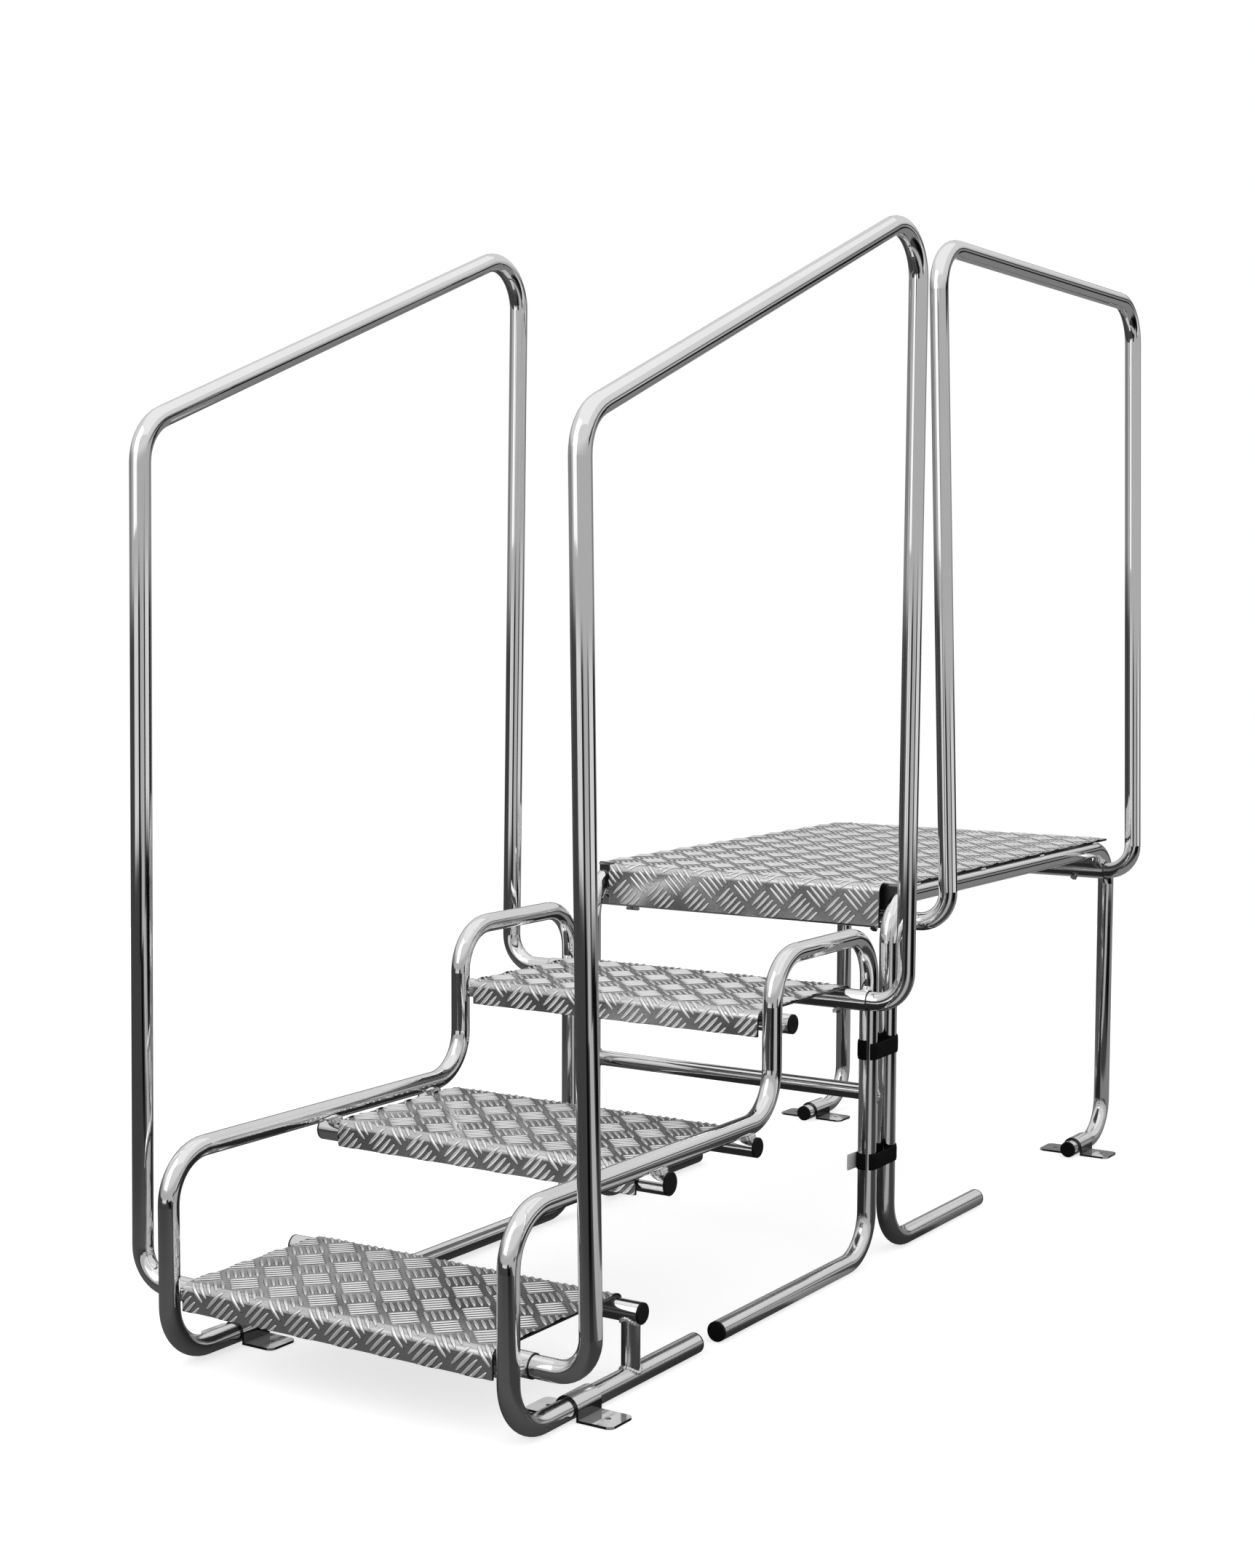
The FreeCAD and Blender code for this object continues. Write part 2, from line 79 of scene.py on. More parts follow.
# %% Camera
camera_data = bpy.data.cameras.new("camera")
camera_data.lens = 52.85
camera_data.sensor_width = 36.0
camera_data.clip_start = 0.05
camera = bpy.data.objects.new("camera", camera_data)
bpy.context.scene.collection.objects.link(camera)
camera_azimuth = math.radians(32.622)
camera_drop = math.radians(4.433)
camera_roll = math.radians(0.217)
camera.location = (1.6064, -2.7520, 0.8815)
camera.rotation_mode = "QUATERNION"
turn = (Matrix.Rotation(camera_azimuth, 3, "Z") @ Matrix.Rotation(math.pi / 2 - camera_drop, 3, "X")
        @ Matrix.Rotation(camera_roll, 3, "Z"))
camera.rotation_quaternion = turn.to_quaternion()
bpy.context.scene.camera = camera
bpy.context.scene.view_settings.view_transform = "Standard"
print("camera", [round(v, 3) for v in camera.location], "lens", camera_data.lens)

# %% [markdown]
# Every material and node tree below is built from a few nodes at a time. These helpers keep the cells short:
# one adds a node with its settings, one fills or joins a socket, one does a sum, and the others turn a value
# into a soft step, a band or a grey.

# %% Node helpers
def add_node(tree, kind, **settings):
    node = tree.nodes.new(kind)
    for name, value in settings.items():
        setattr(node, name, value)
    return node


def feed(tree, socket, value):
    """Put a number, a colour or another node's output into an input socket."""
    if isinstance(value, bpy.types.NodeSocket):
        tree.links.new(value, socket)
    elif value is not None:
        socket.default_value = value


def compute(tree, operation, first, second=None, third=None):
    node = add_node(tree, "ShaderNodeMath", operation=operation)
    for socket, value in zip(node.inputs, (first, second, third)):
        feed(tree, socket, value)
    return node.outputs[0]


def between(tree, value, low, high, out_low=0.0, out_high=1.0):
    """Map a value's range to another, with soft ends."""
    node = add_node(tree, "ShaderNodeMapRange", interpolation_type="SMOOTHSTEP")
    for name, number in (("From Min", low), ("From Max", high), ("To Min", out_low), ("To Max", out_high)):
        feed(tree, node.inputs[name], number)
    feed(tree, node.inputs["Value"], value)
    return node.outputs["Result"]


def within(tree, value, edges):
    """1 from the second edge to the third, with a soft fall to 0 at the first and at the fourth."""
    return compute(tree, "MULTIPLY", between(tree, value, edges[0], edges[1]),
                   between(tree, value, edges[2], edges[3], 1.0, 0.0))


def light_of(grey):
    """The amount of light that a screen shows as this grey, 0 black and 1 white."""
    return ((grey + 0.055) / 1.055) ** 2.4 if grey > 0.04 else grey / 12.92


def ramp(tree, value, stops):
    """A grey for each place along a value, from pairs of place and grey as a screen shows it."""
    node = add_node(tree, "ShaderNodeValToRGB")
    elements = node.color_ramp.elements
    while len(elements) < len(stops):
        elements.new(0.5)
    for element, (place, grey) in zip(elements, sorted(stops)):
        element.position = place
        element.color = (light_of(grey), light_of(grey), light_of(grey), 1.0)
    feed(tree, node.inputs["Fac"], value)
    return node.outputs["Color"]

# %% [markdown]
# Chrome has no colour of its own. All that it shows is the room, so the room is built like a photographer's:
# a wall of one grey, and a few flat panels and black flags in front of it, each from one angle to another. A
# white panel on the left and a pale one on the right give the tubes their bands, and the black gaps between
# them become the long dark lines. Below eye level the left half is dark floor. A dark beam on the right and a
# grey wall far behind are there for the sloping rails and for the treads' tops. Only five greys are used, as
# a screen shows them, and light_of turns them into amounts of light. The camera itself sees white paper.
# Heights are degrees above the horizon.

# %% World
def turned_to_camera(tree, x, y):
    """How far a place or direction lies to the camera's right, and how far it lies towards the camera."""
    sideways = compute(tree, "ADD", compute(tree, "MULTIPLY", x, math.cos(camera_azimuth)),
                       compute(tree, "MULTIPLY", y, math.sin(camera_azimuth)))
    towards = compute(tree, "ADD", compute(tree, "MULTIPLY", x, math.sin(camera_azimuth)),
                      compute(tree, "MULTIPLY", y, -math.cos(camera_azimuth)))
    return sideways, towards


def blend_grey(tree, share, first, second):
    node = add_node(tree, "ShaderNodeMix", data_type="FLOAT")
    feed(tree, node.inputs[0], share)
    feed(tree, node.inputs[2], first)
    feed(tree, node.inputs[3], second)
    return node.outputs[0]


def angle_around(tree, sideways, towards):
    """The angle round the object as a share of the turn: 0.5 towards the camera, more to its right."""
    return compute(tree, "MULTIPLY_ADD", compute(tree, "ARCTAN2", sideways, towards), 0.5 / math.pi, 0.5)


def build_studio_world():
    world = bpy.data.worlds.new("studio")
    bpy.context.scene.world = world
    world.use_nodes = True
    tree = world.node_tree
    tree.nodes.clear()
    direction = add_node(tree, "ShaderNodeTexCoord").outputs["Generated"]
    parts = add_node(tree, "ShaderNodeSeparateXYZ")
    feed(tree, parts.inputs[0], direction)
    x, y, z = parts.outputs
    around = angle_around(tree, *turned_to_camera(tree, x, y))
    height = compute(tree, "MULTIPLY", compute(tree, "ARCSINE", z), 180 / math.pi)
    sides = blend_grey(tree, between(tree, height, *EYE_LEVEL_EDGE), ramp(tree, around, ROOM_AT_EYE_LEVEL),
                       ramp(tree, around, ROOM_ABOVE))
    ceiled = blend_grey(tree, between(tree, height, *CEILING_EDGE), sides, light_of(CEILING))
    far_wall = compute(tree, "MULTIPLY", within(tree, height, FAR_WALL_HEIGHTS), ramp(tree, around, FAR_WALL))
    walled = blend_grey(tree, far_wall, ceiled, light_of(FAR_WALL_GREY))
    beam = compute(tree, "MULTIPLY", within(tree, height, BEAM_HEIGHTS), ramp(tree, around, BEAM))
    beamed = blend_grey(tree, beam, walled, BEAM_LIGHT)
    below = between(tree, height, *ROOM_BELOW_EDGE, 1.0, 0.0)
    level = blend_grey(tree, below, beamed, ramp(tree, around, ROOM_BELOW))
    room = add_node(tree, "ShaderNodeBackground")
    feed(tree, room.inputs["Color"], level)
    paper = add_node(tree, "ShaderNodeBackground")
    paper.inputs["Color"].default_value = (1.0, 1.0, 1.0, 1.0)
    rays = add_node(tree, "ShaderNodeLightPath")
    mixed = add_node(tree, "ShaderNodeMixShader")
    feed(tree, mixed.inputs[0], rays.outputs["Is Camera Ray"])
    feed(tree, mixed.inputs[1], room.outputs[0])
    feed(tree, mixed.inputs[2], paper.outputs[0])
    output = add_node(tree, "ShaderNodeOutputWorld")
    feed(tree, output.inputs["Surface"], mixed.outputs[0])
    print("world nodes", len(tree.nodes))


def by_angle(levels):
    """Stops for a ramp over the whole turn, from angles in degrees: 0 towards the camera, right positive."""
    return [((angle + 180) / 360, level) for angle, level in levels]


def room_with(wall, panels, edge=4):
    """Stops for one height of the room: the wall's grey, and panels as left side, right side and grey."""
    levels = [(-180, wall)]
    for left, right, grey in panels:
        levels.extend(((left - edge / 2, wall), (left + edge / 2, grey), (right - edge / 2, grey),
                       (right + edge / 2, wall)))
    return by_angle(levels + [(180, wall)])


BLACK, DARK, MIDDLE, PALE, WHITE = 0.04, 0.25, 0.50, 0.70, 0.85
ROOM_BELOW = room_with(DARK, ((-10, 5, BLACK), (15, 45, PALE), (55, 90, BLACK), (95, 175, MIDDLE)))
ROOM_AT_EYE_LEVEL = room_with(DARK, ((-60, -15, WHITE), (-10, 0, BLACK), (5, 45, PALE), (47, 53, BLACK),
                                     (58, 105, WHITE), (110, 135, BLACK), (140, 175, MIDDLE)))
ROOM_ABOVE = room_with(PALE, ((-160, -90, MIDDLE), (120, 160, MIDDLE)))
ROOM_BELOW_EDGE = (-7.5, -5.5)
EYE_LEVEL_EDGE = (-1.2, 1.2)
FAR_WALL = by_angle(((-180, 1.0), (-150, 1.0), (-144, 0.0), (144, 0.0), (150, 1.0), (180, 1.0)))
FAR_WALL_HEIGHTS = (7.0, 8.5, 16.0, 19.0)
FAR_WALL_GREY = 0.40
BEAM = by_angle(((-180, 0.0), (78, 0.0), (82, 1.0), (138, 1.0), (142, 0.0), (180, 0.0)))
BEAM_HEIGHTS = (8.5, 9.5, 12.5, 13.5)
BEAM_LIGHT = 0.002
CEILING = WHITE
CEILING_EDGE = (7.0, 24.0)
build_studio_world()

# %% [markdown]
# The floor is a pale disc. The camera sees its own pale colour with the object's soft shadow, lifted to paper
# white by a glow. What the metal mirrors is a painted floor: it goes on from the walls' light and dark
# sectors, is painted a little paler nearby, and has a painted shadow, dark below the treads, where little
# light falls.

# %% Floor
def mirrored_floor(tree):
    """The light that the metal sees on the floor, by its place in metres."""
    parts = add_node(tree, "ShaderNodeSeparateXYZ")
    feed(tree, parts.inputs[0], add_node(tree, "ShaderNodeTexCoord").outputs["Object"])
    x, y, z = parts.outputs
    distance = compute(tree, "SQRT", compute(tree, "ADD", compute(tree, "MULTIPLY", x, x),
                                             compute(tree, "MULTIPLY", y, y)))
    near = compute(tree, "MULTIPLY", between(tree, distance, *NEARBY_EDGE, 1.0, 0.0), NEARBY_SHARE)
    side = blend_grey(tree, near, ramp(tree, angle_around(tree, *turned_to_camera(tree, x, y)), ROOM_BELOW),
                      light_of(FLOOR_NEARBY))
    # Painted shadow: the floor that the metal mirrors is darkened below the treads, in place of the object's
    # own.
    painted_shadow = compute(tree, "MULTIPLY",
                      between(tree, compute(tree, "ABSOLUTE", x), *PAINTED_SHADOW_EDGE_X, 1.0, 0.0),
                      between(tree, compute(tree, "ABSOLUTE", y), *PAINTED_SHADOW_EDGE_Y, 1.0, 0.0))
    return blend_grey(tree, painted_shadow, side, light_of(FLOOR_PAINTED_SHADOW))


def build_floor(radius, colour, glow):
    steps, level = 96, -0.4 * MM
    turns = [2 * math.pi * i / steps for i in range(steps)]
    points = [(radius * math.cos(turn), radius * math.sin(turn), level) for turn in turns]
    mesh = bpy.data.meshes.new("studio_floor")
    mesh.from_pydata(points, [], [tuple(range(steps))])
    floor = bpy.data.objects.new("studio_floor", mesh)
    bpy.context.scene.collection.objects.link(floor)
    material = bpy.data.materials.new("pale_floor")
    material.use_nodes = True
    tree = material.node_tree
    tree.nodes.clear()
    paper = add_node(tree, "ShaderNodeBsdfDiffuse")
    paper.inputs["Color"].default_value = (colour, colour, colour, 1.0)
    light = add_node(tree, "ShaderNodeEmission")
    rays = add_node(tree, "ShaderNodeLightPath")
    feed(tree, light.inputs["Strength"], compute(tree, "MULTIPLY", rays.outputs["Is Camera Ray"], glow))
    seen = add_node(tree, "ShaderNodeAddShader")
    feed(tree, seen.inputs[0], paper.outputs[0])
    feed(tree, seen.inputs[1], light.outputs[0])
    mirrored = add_node(tree, "ShaderNodeEmission")
    feed(tree, mirrored.inputs["Strength"], mirrored_floor(tree))
    mixed = add_node(tree, "ShaderNodeMixShader")
    in_metal = compute(tree, "MAXIMUM", rays.outputs["Is Glossy Ray"], rays.outputs["Is Transmission Ray"])
    feed(tree, mixed.inputs[0], in_metal)
    feed(tree, mixed.inputs[1], seen.outputs[0])
    feed(tree, mixed.inputs[2], mirrored.outputs[0])
    output = add_node(tree, "ShaderNodeOutputMaterial")
    feed(tree, output.inputs["Surface"], mixed.outputs[0])
    mesh.materials.append(material)
    floor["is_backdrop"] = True
    print("floor radius", radius, "m")


FLOOR_NEARBY = MIDDLE
NEARBY_EDGE = (1.0, 1.8)
NEARBY_SHARE = 0.22
# The grey of the painted shadow below the treads.
FLOOR_PAINTED_SHADOW = 0.15
PAINTED_SHADOW_EDGE_X = (0.18, 0.34)
PAINTED_SHADOW_EDGE_Y = (0.70, 1.00)
build_floor(radius=3.4, colour=0.66, glow=0.70)

# %% [markdown]
# Three soft lamps and the world light the object. A very broad one overhead gives every tube its pale top
# without a hard edge. A panel to the left of the camera puts a white band on the upright tubes. A third lamp
# high above that panel lights the raised bars and the plates' folded fronts, and shows in the bends only.

# %% Lamps
def add_lamp(name, place, aim, width, height, power):
    data = bpy.data.lights.new(name, "AREA")
    data.shape = "RECTANGLE"
    data.size = width
    data.size_y = height
    data.energy = power
    lamp = bpy.data.objects.new(name, data)
    bpy.context.scene.collection.objects.link(lamp)
    lamp.location = place
    lamp.rotation_mode = "QUATERNION"
    lamp.rotation_quaternion = (Vector(aim) - Vector(place)).to_track_quat("-Z", "Y")


add_lamp("lamp_overhead", (0.2, -0.4, 3.8), (0, 0, 0.3), 5.0, 5.0, 17)
add_lamp("lamp_tall_left", (-0.75, -3.6, 1.9), (0, 0, 0.8), 2.2, 1.8, 8)
add_lamp("lamp_high_left", (-0.95, -3.05, 3.0), (0, -0.2, 0.3), 2.4, 2.4, 12)

# %% [markdown]
# Polished tube is never perfectly smooth. Drawing and polishing leave a slight waviness that bends the long
# streaks, a fine grain, and a haze of handling marks, and the parts near the floor are scuffed. The saddles
# were cut from strip, and their cut edges, which face straight along X or Y, are dark. One node group makes
# all of this, with its sizes as inputs, and each metal places it with its own values.

# %% Polish group
def new_group(name, inputs, outputs):
    group = bpy.data.node_groups.new(name, "ShaderNodeTree")
    for title, kind, value in inputs:
        socket = group.interface.new_socket(name=title, in_out="INPUT", socket_type=kind)
        if value is not None:
            socket.default_value = value
    for title, kind in outputs:
        group.interface.new_socket(name=title, in_out="OUTPUT", socket_type=kind)
    inside = add_node(group, "NodeGroupInput")
    outside = add_node(group, "NodeGroupOutput")
    return group, inside.outputs, outside.inputs


def noise(tree, vector, scale, detail=3.0, roughness=0.5):
    node = add_node(tree, "ShaderNodeTexNoise")
    feed(tree, node.inputs["Vector"], vector)
    feed(tree, node.inputs["Scale"], scale)
    node.inputs["Detail"].default_value = detail
    node.inputs["Roughness"].default_value = roughness
    return node.outputs["Fac"]


FACING_ALONG_AXIS = (0.975, 0.995)      # from here on, a face is taken to look straight along an axis
GRAIN_HEIGHT = 0.0000008


def build_polish_group():
    group, given, made = new_group(
        "polish_marks",
        (("Vector", "NodeSocketVector", None), ("Wave Scale", "NodeSocketFloat", 14.0),
         ("Wave Height", "NodeSocketFloat", 0.0004), ("Grain Scale", "NodeSocketFloat", 900.0),
         ("Haze Low", "NodeSocketFloat", 0.05), ("Haze High", "NodeSocketFloat", 0.16),
         ("Tone", "NodeSocketFloat", 0.86), ("Scuffed Height", "NodeSocketFloat", 0.001),
         ("Scuffed Haze", "NodeSocketFloat", 0.0), ("Facing", "NodeSocketVector", None),
         ("Cut Tone", "NodeSocketFloat", 1.0)),
        (("Color", "NodeSocketColor"), ("Roughness", "NodeSocketFloat"), ("Normal", "NodeSocketVector")))
    place = given["Vector"]
    haze = noise(group, place, 9.0, 5.0, 0.6)
    specks = noise(group, place, given["Grain Scale"], 2.0)
    above_floor = add_node(group, "ShaderNodeSeparateXYZ")
    feed(group, above_floor.inputs[0], place)
    scuffed = between(group, above_floor.outputs[2], 0.0, given["Scuffed Height"], given["Scuffed Haze"], 0.0)
    polished = compute(group, "ADD", between(group, haze, 0.42, 0.72, given["Haze Low"], given["Haze High"]),
                       compute(group, "MULTIPLY", specks, 0.03))
    feed(group, made["Roughness"], compute(group, "ADD", polished, scuffed))
    tone = add_node(group, "ShaderNodeCombineColor")
    facing = add_node(group, "ShaderNodeSeparateXYZ")
    feed(group, facing.inputs[0], given["Facing"])
    along_x, along_y = (between(group, compute(group, "ABSOLUTE", facing.outputs[axis]), *FACING_ALONG_AXIS)
                        for axis in (0, 1))
    cut = compute(group, "MAXIMUM", along_x, along_y)
    plain = compute(group, "SUBTRACT", given["Tone"], compute(group, "MULTIPLY", haze, 0.10))
    level = compute(group, "MULTIPLY", plain, blend_grey(group, cut, 1.0, given["Cut Tone"]))
    for socket in tone.inputs[:3]:
        feed(group, socket, level)
    feed(group, made["Color"], tone.outputs[0])
    waves = noise(group, place, given["Wave Scale"], 0.0)
    swell = compute(group, "MULTIPLY", waves, given["Wave Height"])
    grain = compute(group, "MULTIPLY", specks, GRAIN_HEIGHT)
    bump = add_node(group, "ShaderNodeBump")
    bump.inputs["Distance"].default_value = 1.0
    bump.inputs["Strength"].default_value = 1.0
    feed(group, bump.inputs["Height"], compute(group, "ADD", swell, grain))
    feed(group, made["Normal"], bump.outputs[0])
    return group


polish_marks = build_polish_group()
print("group", polish_marks.name, len(polish_marks.nodes), "nodes")

# %% Metals with a polish
def start_material(name):
    material = bpy.data.materials.new(name)
    material.use_nodes = True
    tree = material.node_tree
    return material, tree, tree.nodes["Principled BSDF"]


def on_piece(tree, output):
    """Where a point lies on the piece ("Object"), or which way its face looks there ("Normal")."""
    return add_node(tree, "ShaderNodeTexCoord").outputs[output]


def use_group(tree, group, **values):
    node = add_node(tree, "ShaderNodeGroup", node_tree=group)
    for name, value in values.items():
        feed(tree, node.inputs[name.replace("_", " ")], value)
    return node


def use_marks(tree, shader, group, **values):
    """Place a group of surface marks, and join what it makes to the shader."""
    marks = use_group(tree, group, Vector=on_piece(tree, "Object"), Facing=on_piece(tree, "Normal"), **values)
    feed(tree, shader.inputs["Base Color"], marks.outputs["Color"])
    feed(tree, shader.inputs["Roughness"], marks.outputs["Roughness"])
    feed(tree, shader.inputs["Normal"], marks.outputs["Normal"])
    return marks


def polished_metal(name, metallic=1.0, **values):
    material, tree, shader = start_material(name)
    use_marks(tree, shader, polish_marks, **values)
    shader.inputs["Metallic"].default_value = metallic
    return material


frame_chrome = polished_metal("frame_chrome", Tone=0.94, Haze_Low=0.03, Haze_High=0.09, Wave_Height=0.00025,
                              Scuffed_Height=0.16, Scuffed_Haze=0.10)
rail_chrome = polished_metal("rail_chrome", Tone=0.94, Haze_Low=0.02, Haze_High=0.06, Wave_Height=0.00012)
saddle_steel = polished_metal("saddle_steel", metallic=0.7, Tone=0.96, Haze_Low=0.03, Haze_High=0.09,
                              Wave_Scale=30.0, Cut_Tone=0.06)
screw_steel = polished_metal("screw_steel", Tone=0.80, Haze_Low=0.14, Haze_High=0.25)
weld_steel = polished_metal("weld_steel", metallic=0.7, Tone=0.96, Haze_Low=0.10, Haze_High=0.20,
                            Wave_Scale=300.0, Wave_Height=0.0001)
# Dark dull steel: the sleeves' sawn ends, and painted shade in the deck's notches and at the sleeves' mouths.
cut_and_shade_steel = polished_metal("cut_and_shade_steel", Tone=0.13, Haze_Low=0.40, Haze_High=0.60)
print("polished metals", [m.name for m in (frame_chrome, rail_chrome, saddle_steel, screw_steel, weld_steel,
                                           cut_and_shade_steel)])

# %% [markdown]
# The plate is rolled aluminium. Its ground is slightly frosted and a good deal darker than the bars' crowns,
# which are a dull white, partly worn bright by feet and partly a painted highlight. Where a bar meets the
# plate
# it is nearly black: painted shade in that crease, with the dirt that gathers there. The side faces are dark:
# partly the sawn edges' own colour, partly painted shade of the gap under the plate's edge. The bars carry an
# attribute named crown, 0 at their foot and 1 on top, so that one group can colour plate and bars alike.

# %% Plate group
def build_plate_group():
    group, given, made = new_group(
        "rolled_plate",
        (("Vector", "NodeSocketVector", None), ("Crown", "NodeSocketFloat", 0.5),
         ("Foot", "NodeSocketFloat", 0.05), ("Top", "NodeSocketFloat", 0.95),
         ("Worn", "NodeSocketFloat", 0.0), ("Facing", "NodeSocketVector", None)),
        (("Color", "NodeSocketColor"), ("Roughness", "NodeSocketFloat"), ("Metallic", "NodeSocketFloat"),
         ("Normal", "NodeSocketVector")))
    place = given["Vector"]
    cloud = noise(group, place, 16.0, 4.0, 0.6)
    frost = noise(group, place, 1400.0, 2.0)
    # From Foot to Top: painted shade with dirt at a bar's foot, and a crown that is partly wear, partly
    # painted highlight.
    raised = between(group, given["Crown"], 0.25, 0.60)
    low = blend_grey(group, raised, given["Foot"], given["Top"])
    facing = add_node(group, "ShaderNodeSeparateXYZ")
    feed(group, facing.inputs[0], given["Facing"])
    # Side faces along X are darkened: the sawn edges' own colour, and painted shade of the gap under the
    # plate's edge.
    sawn_and_shaded = between(group, compute(group, "ABSOLUTE", facing.outputs[0]), 0.93, 0.98, 1.0, 0.10)
    stained = compute(group, "MULTIPLY", low, between(group, cloud, 0.3, 0.7, 0.92, 1.0))
    level = compute(group, "MULTIPLY", stained, sawn_and_shaded)
    dulled = compute(group, "MULTIPLY", raised, given["Worn"])
    feed(group, made["Metallic"], compute(group, "SUBTRACT", 1.0, dulled))
    tone = add_node(group, "ShaderNodeCombineColor")
    for socket in tone.inputs[:3]:
        feed(group, socket, level)
    feed(group, made["Color"], tone.outputs[0])
    feed(group, made["Roughness"], between(group, cloud, 0.3, 0.7, 0.13, 0.22))
    bump = add_node(group, "ShaderNodeBump")
    bump.inputs["Distance"].default_value = 1.0
    feed(group, bump.inputs["Height"], compute(group, "MULTIPLY", frost, 0.00001))
    feed(group, made["Normal"], bump.outputs[0])
    return group


rolled_plate = build_plate_group()


def plate_metal(name, metallic, **values):
    material, tree, shader = start_material(name)
    use_marks(tree, shader, rolled_plate, **values)
    shader.inputs["Metallic"].default_value = metallic
    return material


def bar_metal(name, crown_attribute, **values):
    """The bars' finish: painted shade and dirt at the foot, and a dull white crown, both wear and painted
    highlight.
    """
    material, tree, shader = start_material(name)
    marks = use_marks(tree, shader, rolled_plate, **values)
    crown = add_node(tree, "ShaderNodeAttribute", attribute_name=crown_attribute)
    feed(tree, marks.inputs["Crown"], crown.outputs["Fac"])
    feed(tree, shader.inputs["Metallic"], marks.outputs["Metallic"])
    return material


checker_ground = plate_metal("checker_plate", metallic=0.936, Foot=0.74, Top=0.74)
# The bars' black feet are painted shade with dirt, their white crowns partly wear and partly painted
# highlight.
checker_bars = bar_metal("checker_bars", "crown", Foot=0.02, Top=0.98, Worn=0.40)
print("plate finishes", checker_ground.name, checker_bars.name)

# %% [markdown]
# The plugs are moulded black plastic with a fine grain, and the straps are woven black webbing. The weave is
# a brick pattern on the strap's own UV map, whose unit is a millimetre, so it follows the band round the
# legs.

# %% Plastic and webbing
def build_plastic():
    material, tree, shader = start_material("plug_plastic")
    place = on_piece(tree, "Object")
    grain = noise(tree, place, 1800.0, 2.0)
    shader.inputs["Base Color"].default_value = (0.004, 0.004, 0.004, 1.0)
    shader.inputs["Specular IOR Level"].default_value = 0.25
    feed(tree, shader.inputs["Roughness"], between(tree, noise(tree, place, 60.0), 0.3, 0.7, 0.45, 0.6))
    bump = add_node(tree, "ShaderNodeBump")
    bump.inputs["Distance"].default_value = 1.0
    feed(tree, bump.inputs["Height"], compute(tree, "MULTIPLY", grain, 0.00002))
    feed(tree, shader.inputs["Normal"], bump.outputs[0])
    return material


plug_plastic = build_plastic()


def build_webbing():
    material, tree, shader = start_material("strap_webbing")
    weave = add_node(tree, "ShaderNodeUVMap")
    checks = add_node(tree, "ShaderNodeTexBrick")
    feed(tree, checks.inputs["Vector"], weave.outputs[0])
    checks.inputs["Scale"].default_value = 1.0
    checks.inputs["Mortar Size"].default_value = 0.16
    checks.inputs["Brick Width"].default_value = 2.0
    checks.inputs["Row Height"].default_value = 1.0
    checks.inputs["Color1"].default_value = (0.008, 0.008, 0.008, 1)
    checks.inputs["Color2"].default_value = (0.005, 0.005, 0.005, 1)
    checks.inputs["Mortar"].default_value = (0.001, 0.001, 0.001, 1)
    feed(tree, shader.inputs["Base Color"], checks.outputs["Color"])
    shader.inputs["Roughness"].default_value = 0.7
    shader.inputs["Specular IOR Level"].default_value = 0.12
    bump = add_node(tree, "ShaderNodeBump")
    bump.inputs["Distance"].default_value = 0.0004
    bump.invert = True
    feed(tree, bump.inputs["Height"], checks.outputs["Fac"])
    feed(tree, shader.inputs["Normal"], bump.outputs[0])
    return material


def build_lining():
    """The strap's inner side: short pale loops, seen only on the tail."""
    material, tree, shader = start_material("strap_lining")
    loops = noise(tree, on_piece(tree, "Object"), 900.0, 3.0)
    feed(tree, shader.inputs["Base Color"], ramp(tree, loops, ((0.3, 0.72), (0.7, 0.88))))
    shader.inputs["Roughness"].default_value = 0.8
    bump = add_node(tree, "ShaderNodeBump")
    bump.inputs["Distance"].default_value = 0.0003
    feed(tree, bump.inputs["Height"], loops)
    feed(tree, shader.inputs["Normal"], bump.outputs[0])
    return material


strap_webbing = build_webbing()
strap_lining = build_lining()
print("soft finishes", plug_plastic.name, strap_webbing.name, strap_lining.name)

# %% [markdown]
# The solids keep their shapes. Each one takes its finish from the record's slot of the same name, so the
# materials are put in by looking the slot up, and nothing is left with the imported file's flat colour.

# %% Finishes on the solids
finishes = {
    "frame_chrome": frame_chrome, "rail_chrome": rail_chrome, "checker_plate": checker_ground,
    "saddle_steel": saddle_steel, "plug_plastic": plug_plastic, "screw_steel": screw_steel,
    "strap_webbing": strap_webbing}
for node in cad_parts.values():
    for slot in node.material_slots:
        slot.material = finishes[slot.material.name.split(".")[0]]
print("dressed", len(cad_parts), "solids")

# %% [markdown]
# Checker plate has groups of five raised bars, each group turned a quarter against its neighbours, like a
# basket weave set on its corner. Thousands of bars that follow the plate round its nosing are work for
# Geometry Nodes. One bar is modelled as a closed leaf shape, and the tree lays it out flat, cuts what
# runs past the plate, and then bends the whole sheet of bars along the plate's own outline.

# %% One raised bar
bar_length = 37 * MM
bar_width = 6.8 * MM          # with the dirty rim where it meets the plate
bar_height = 1.5 * MM
bar_sink = 0.3 * MM
bar_pitch = 8.3 * MM
bar_section = ((-1.0, 0.0, 0.0), (-0.80, 0.20, 0.15), (-0.42, 0.80, 0.90), (0.0, 1.0, 1.0),
               (0.42, 0.80, 0.90), (0.80, 0.20, 0.15), (1.0, 0.0, 0.0))


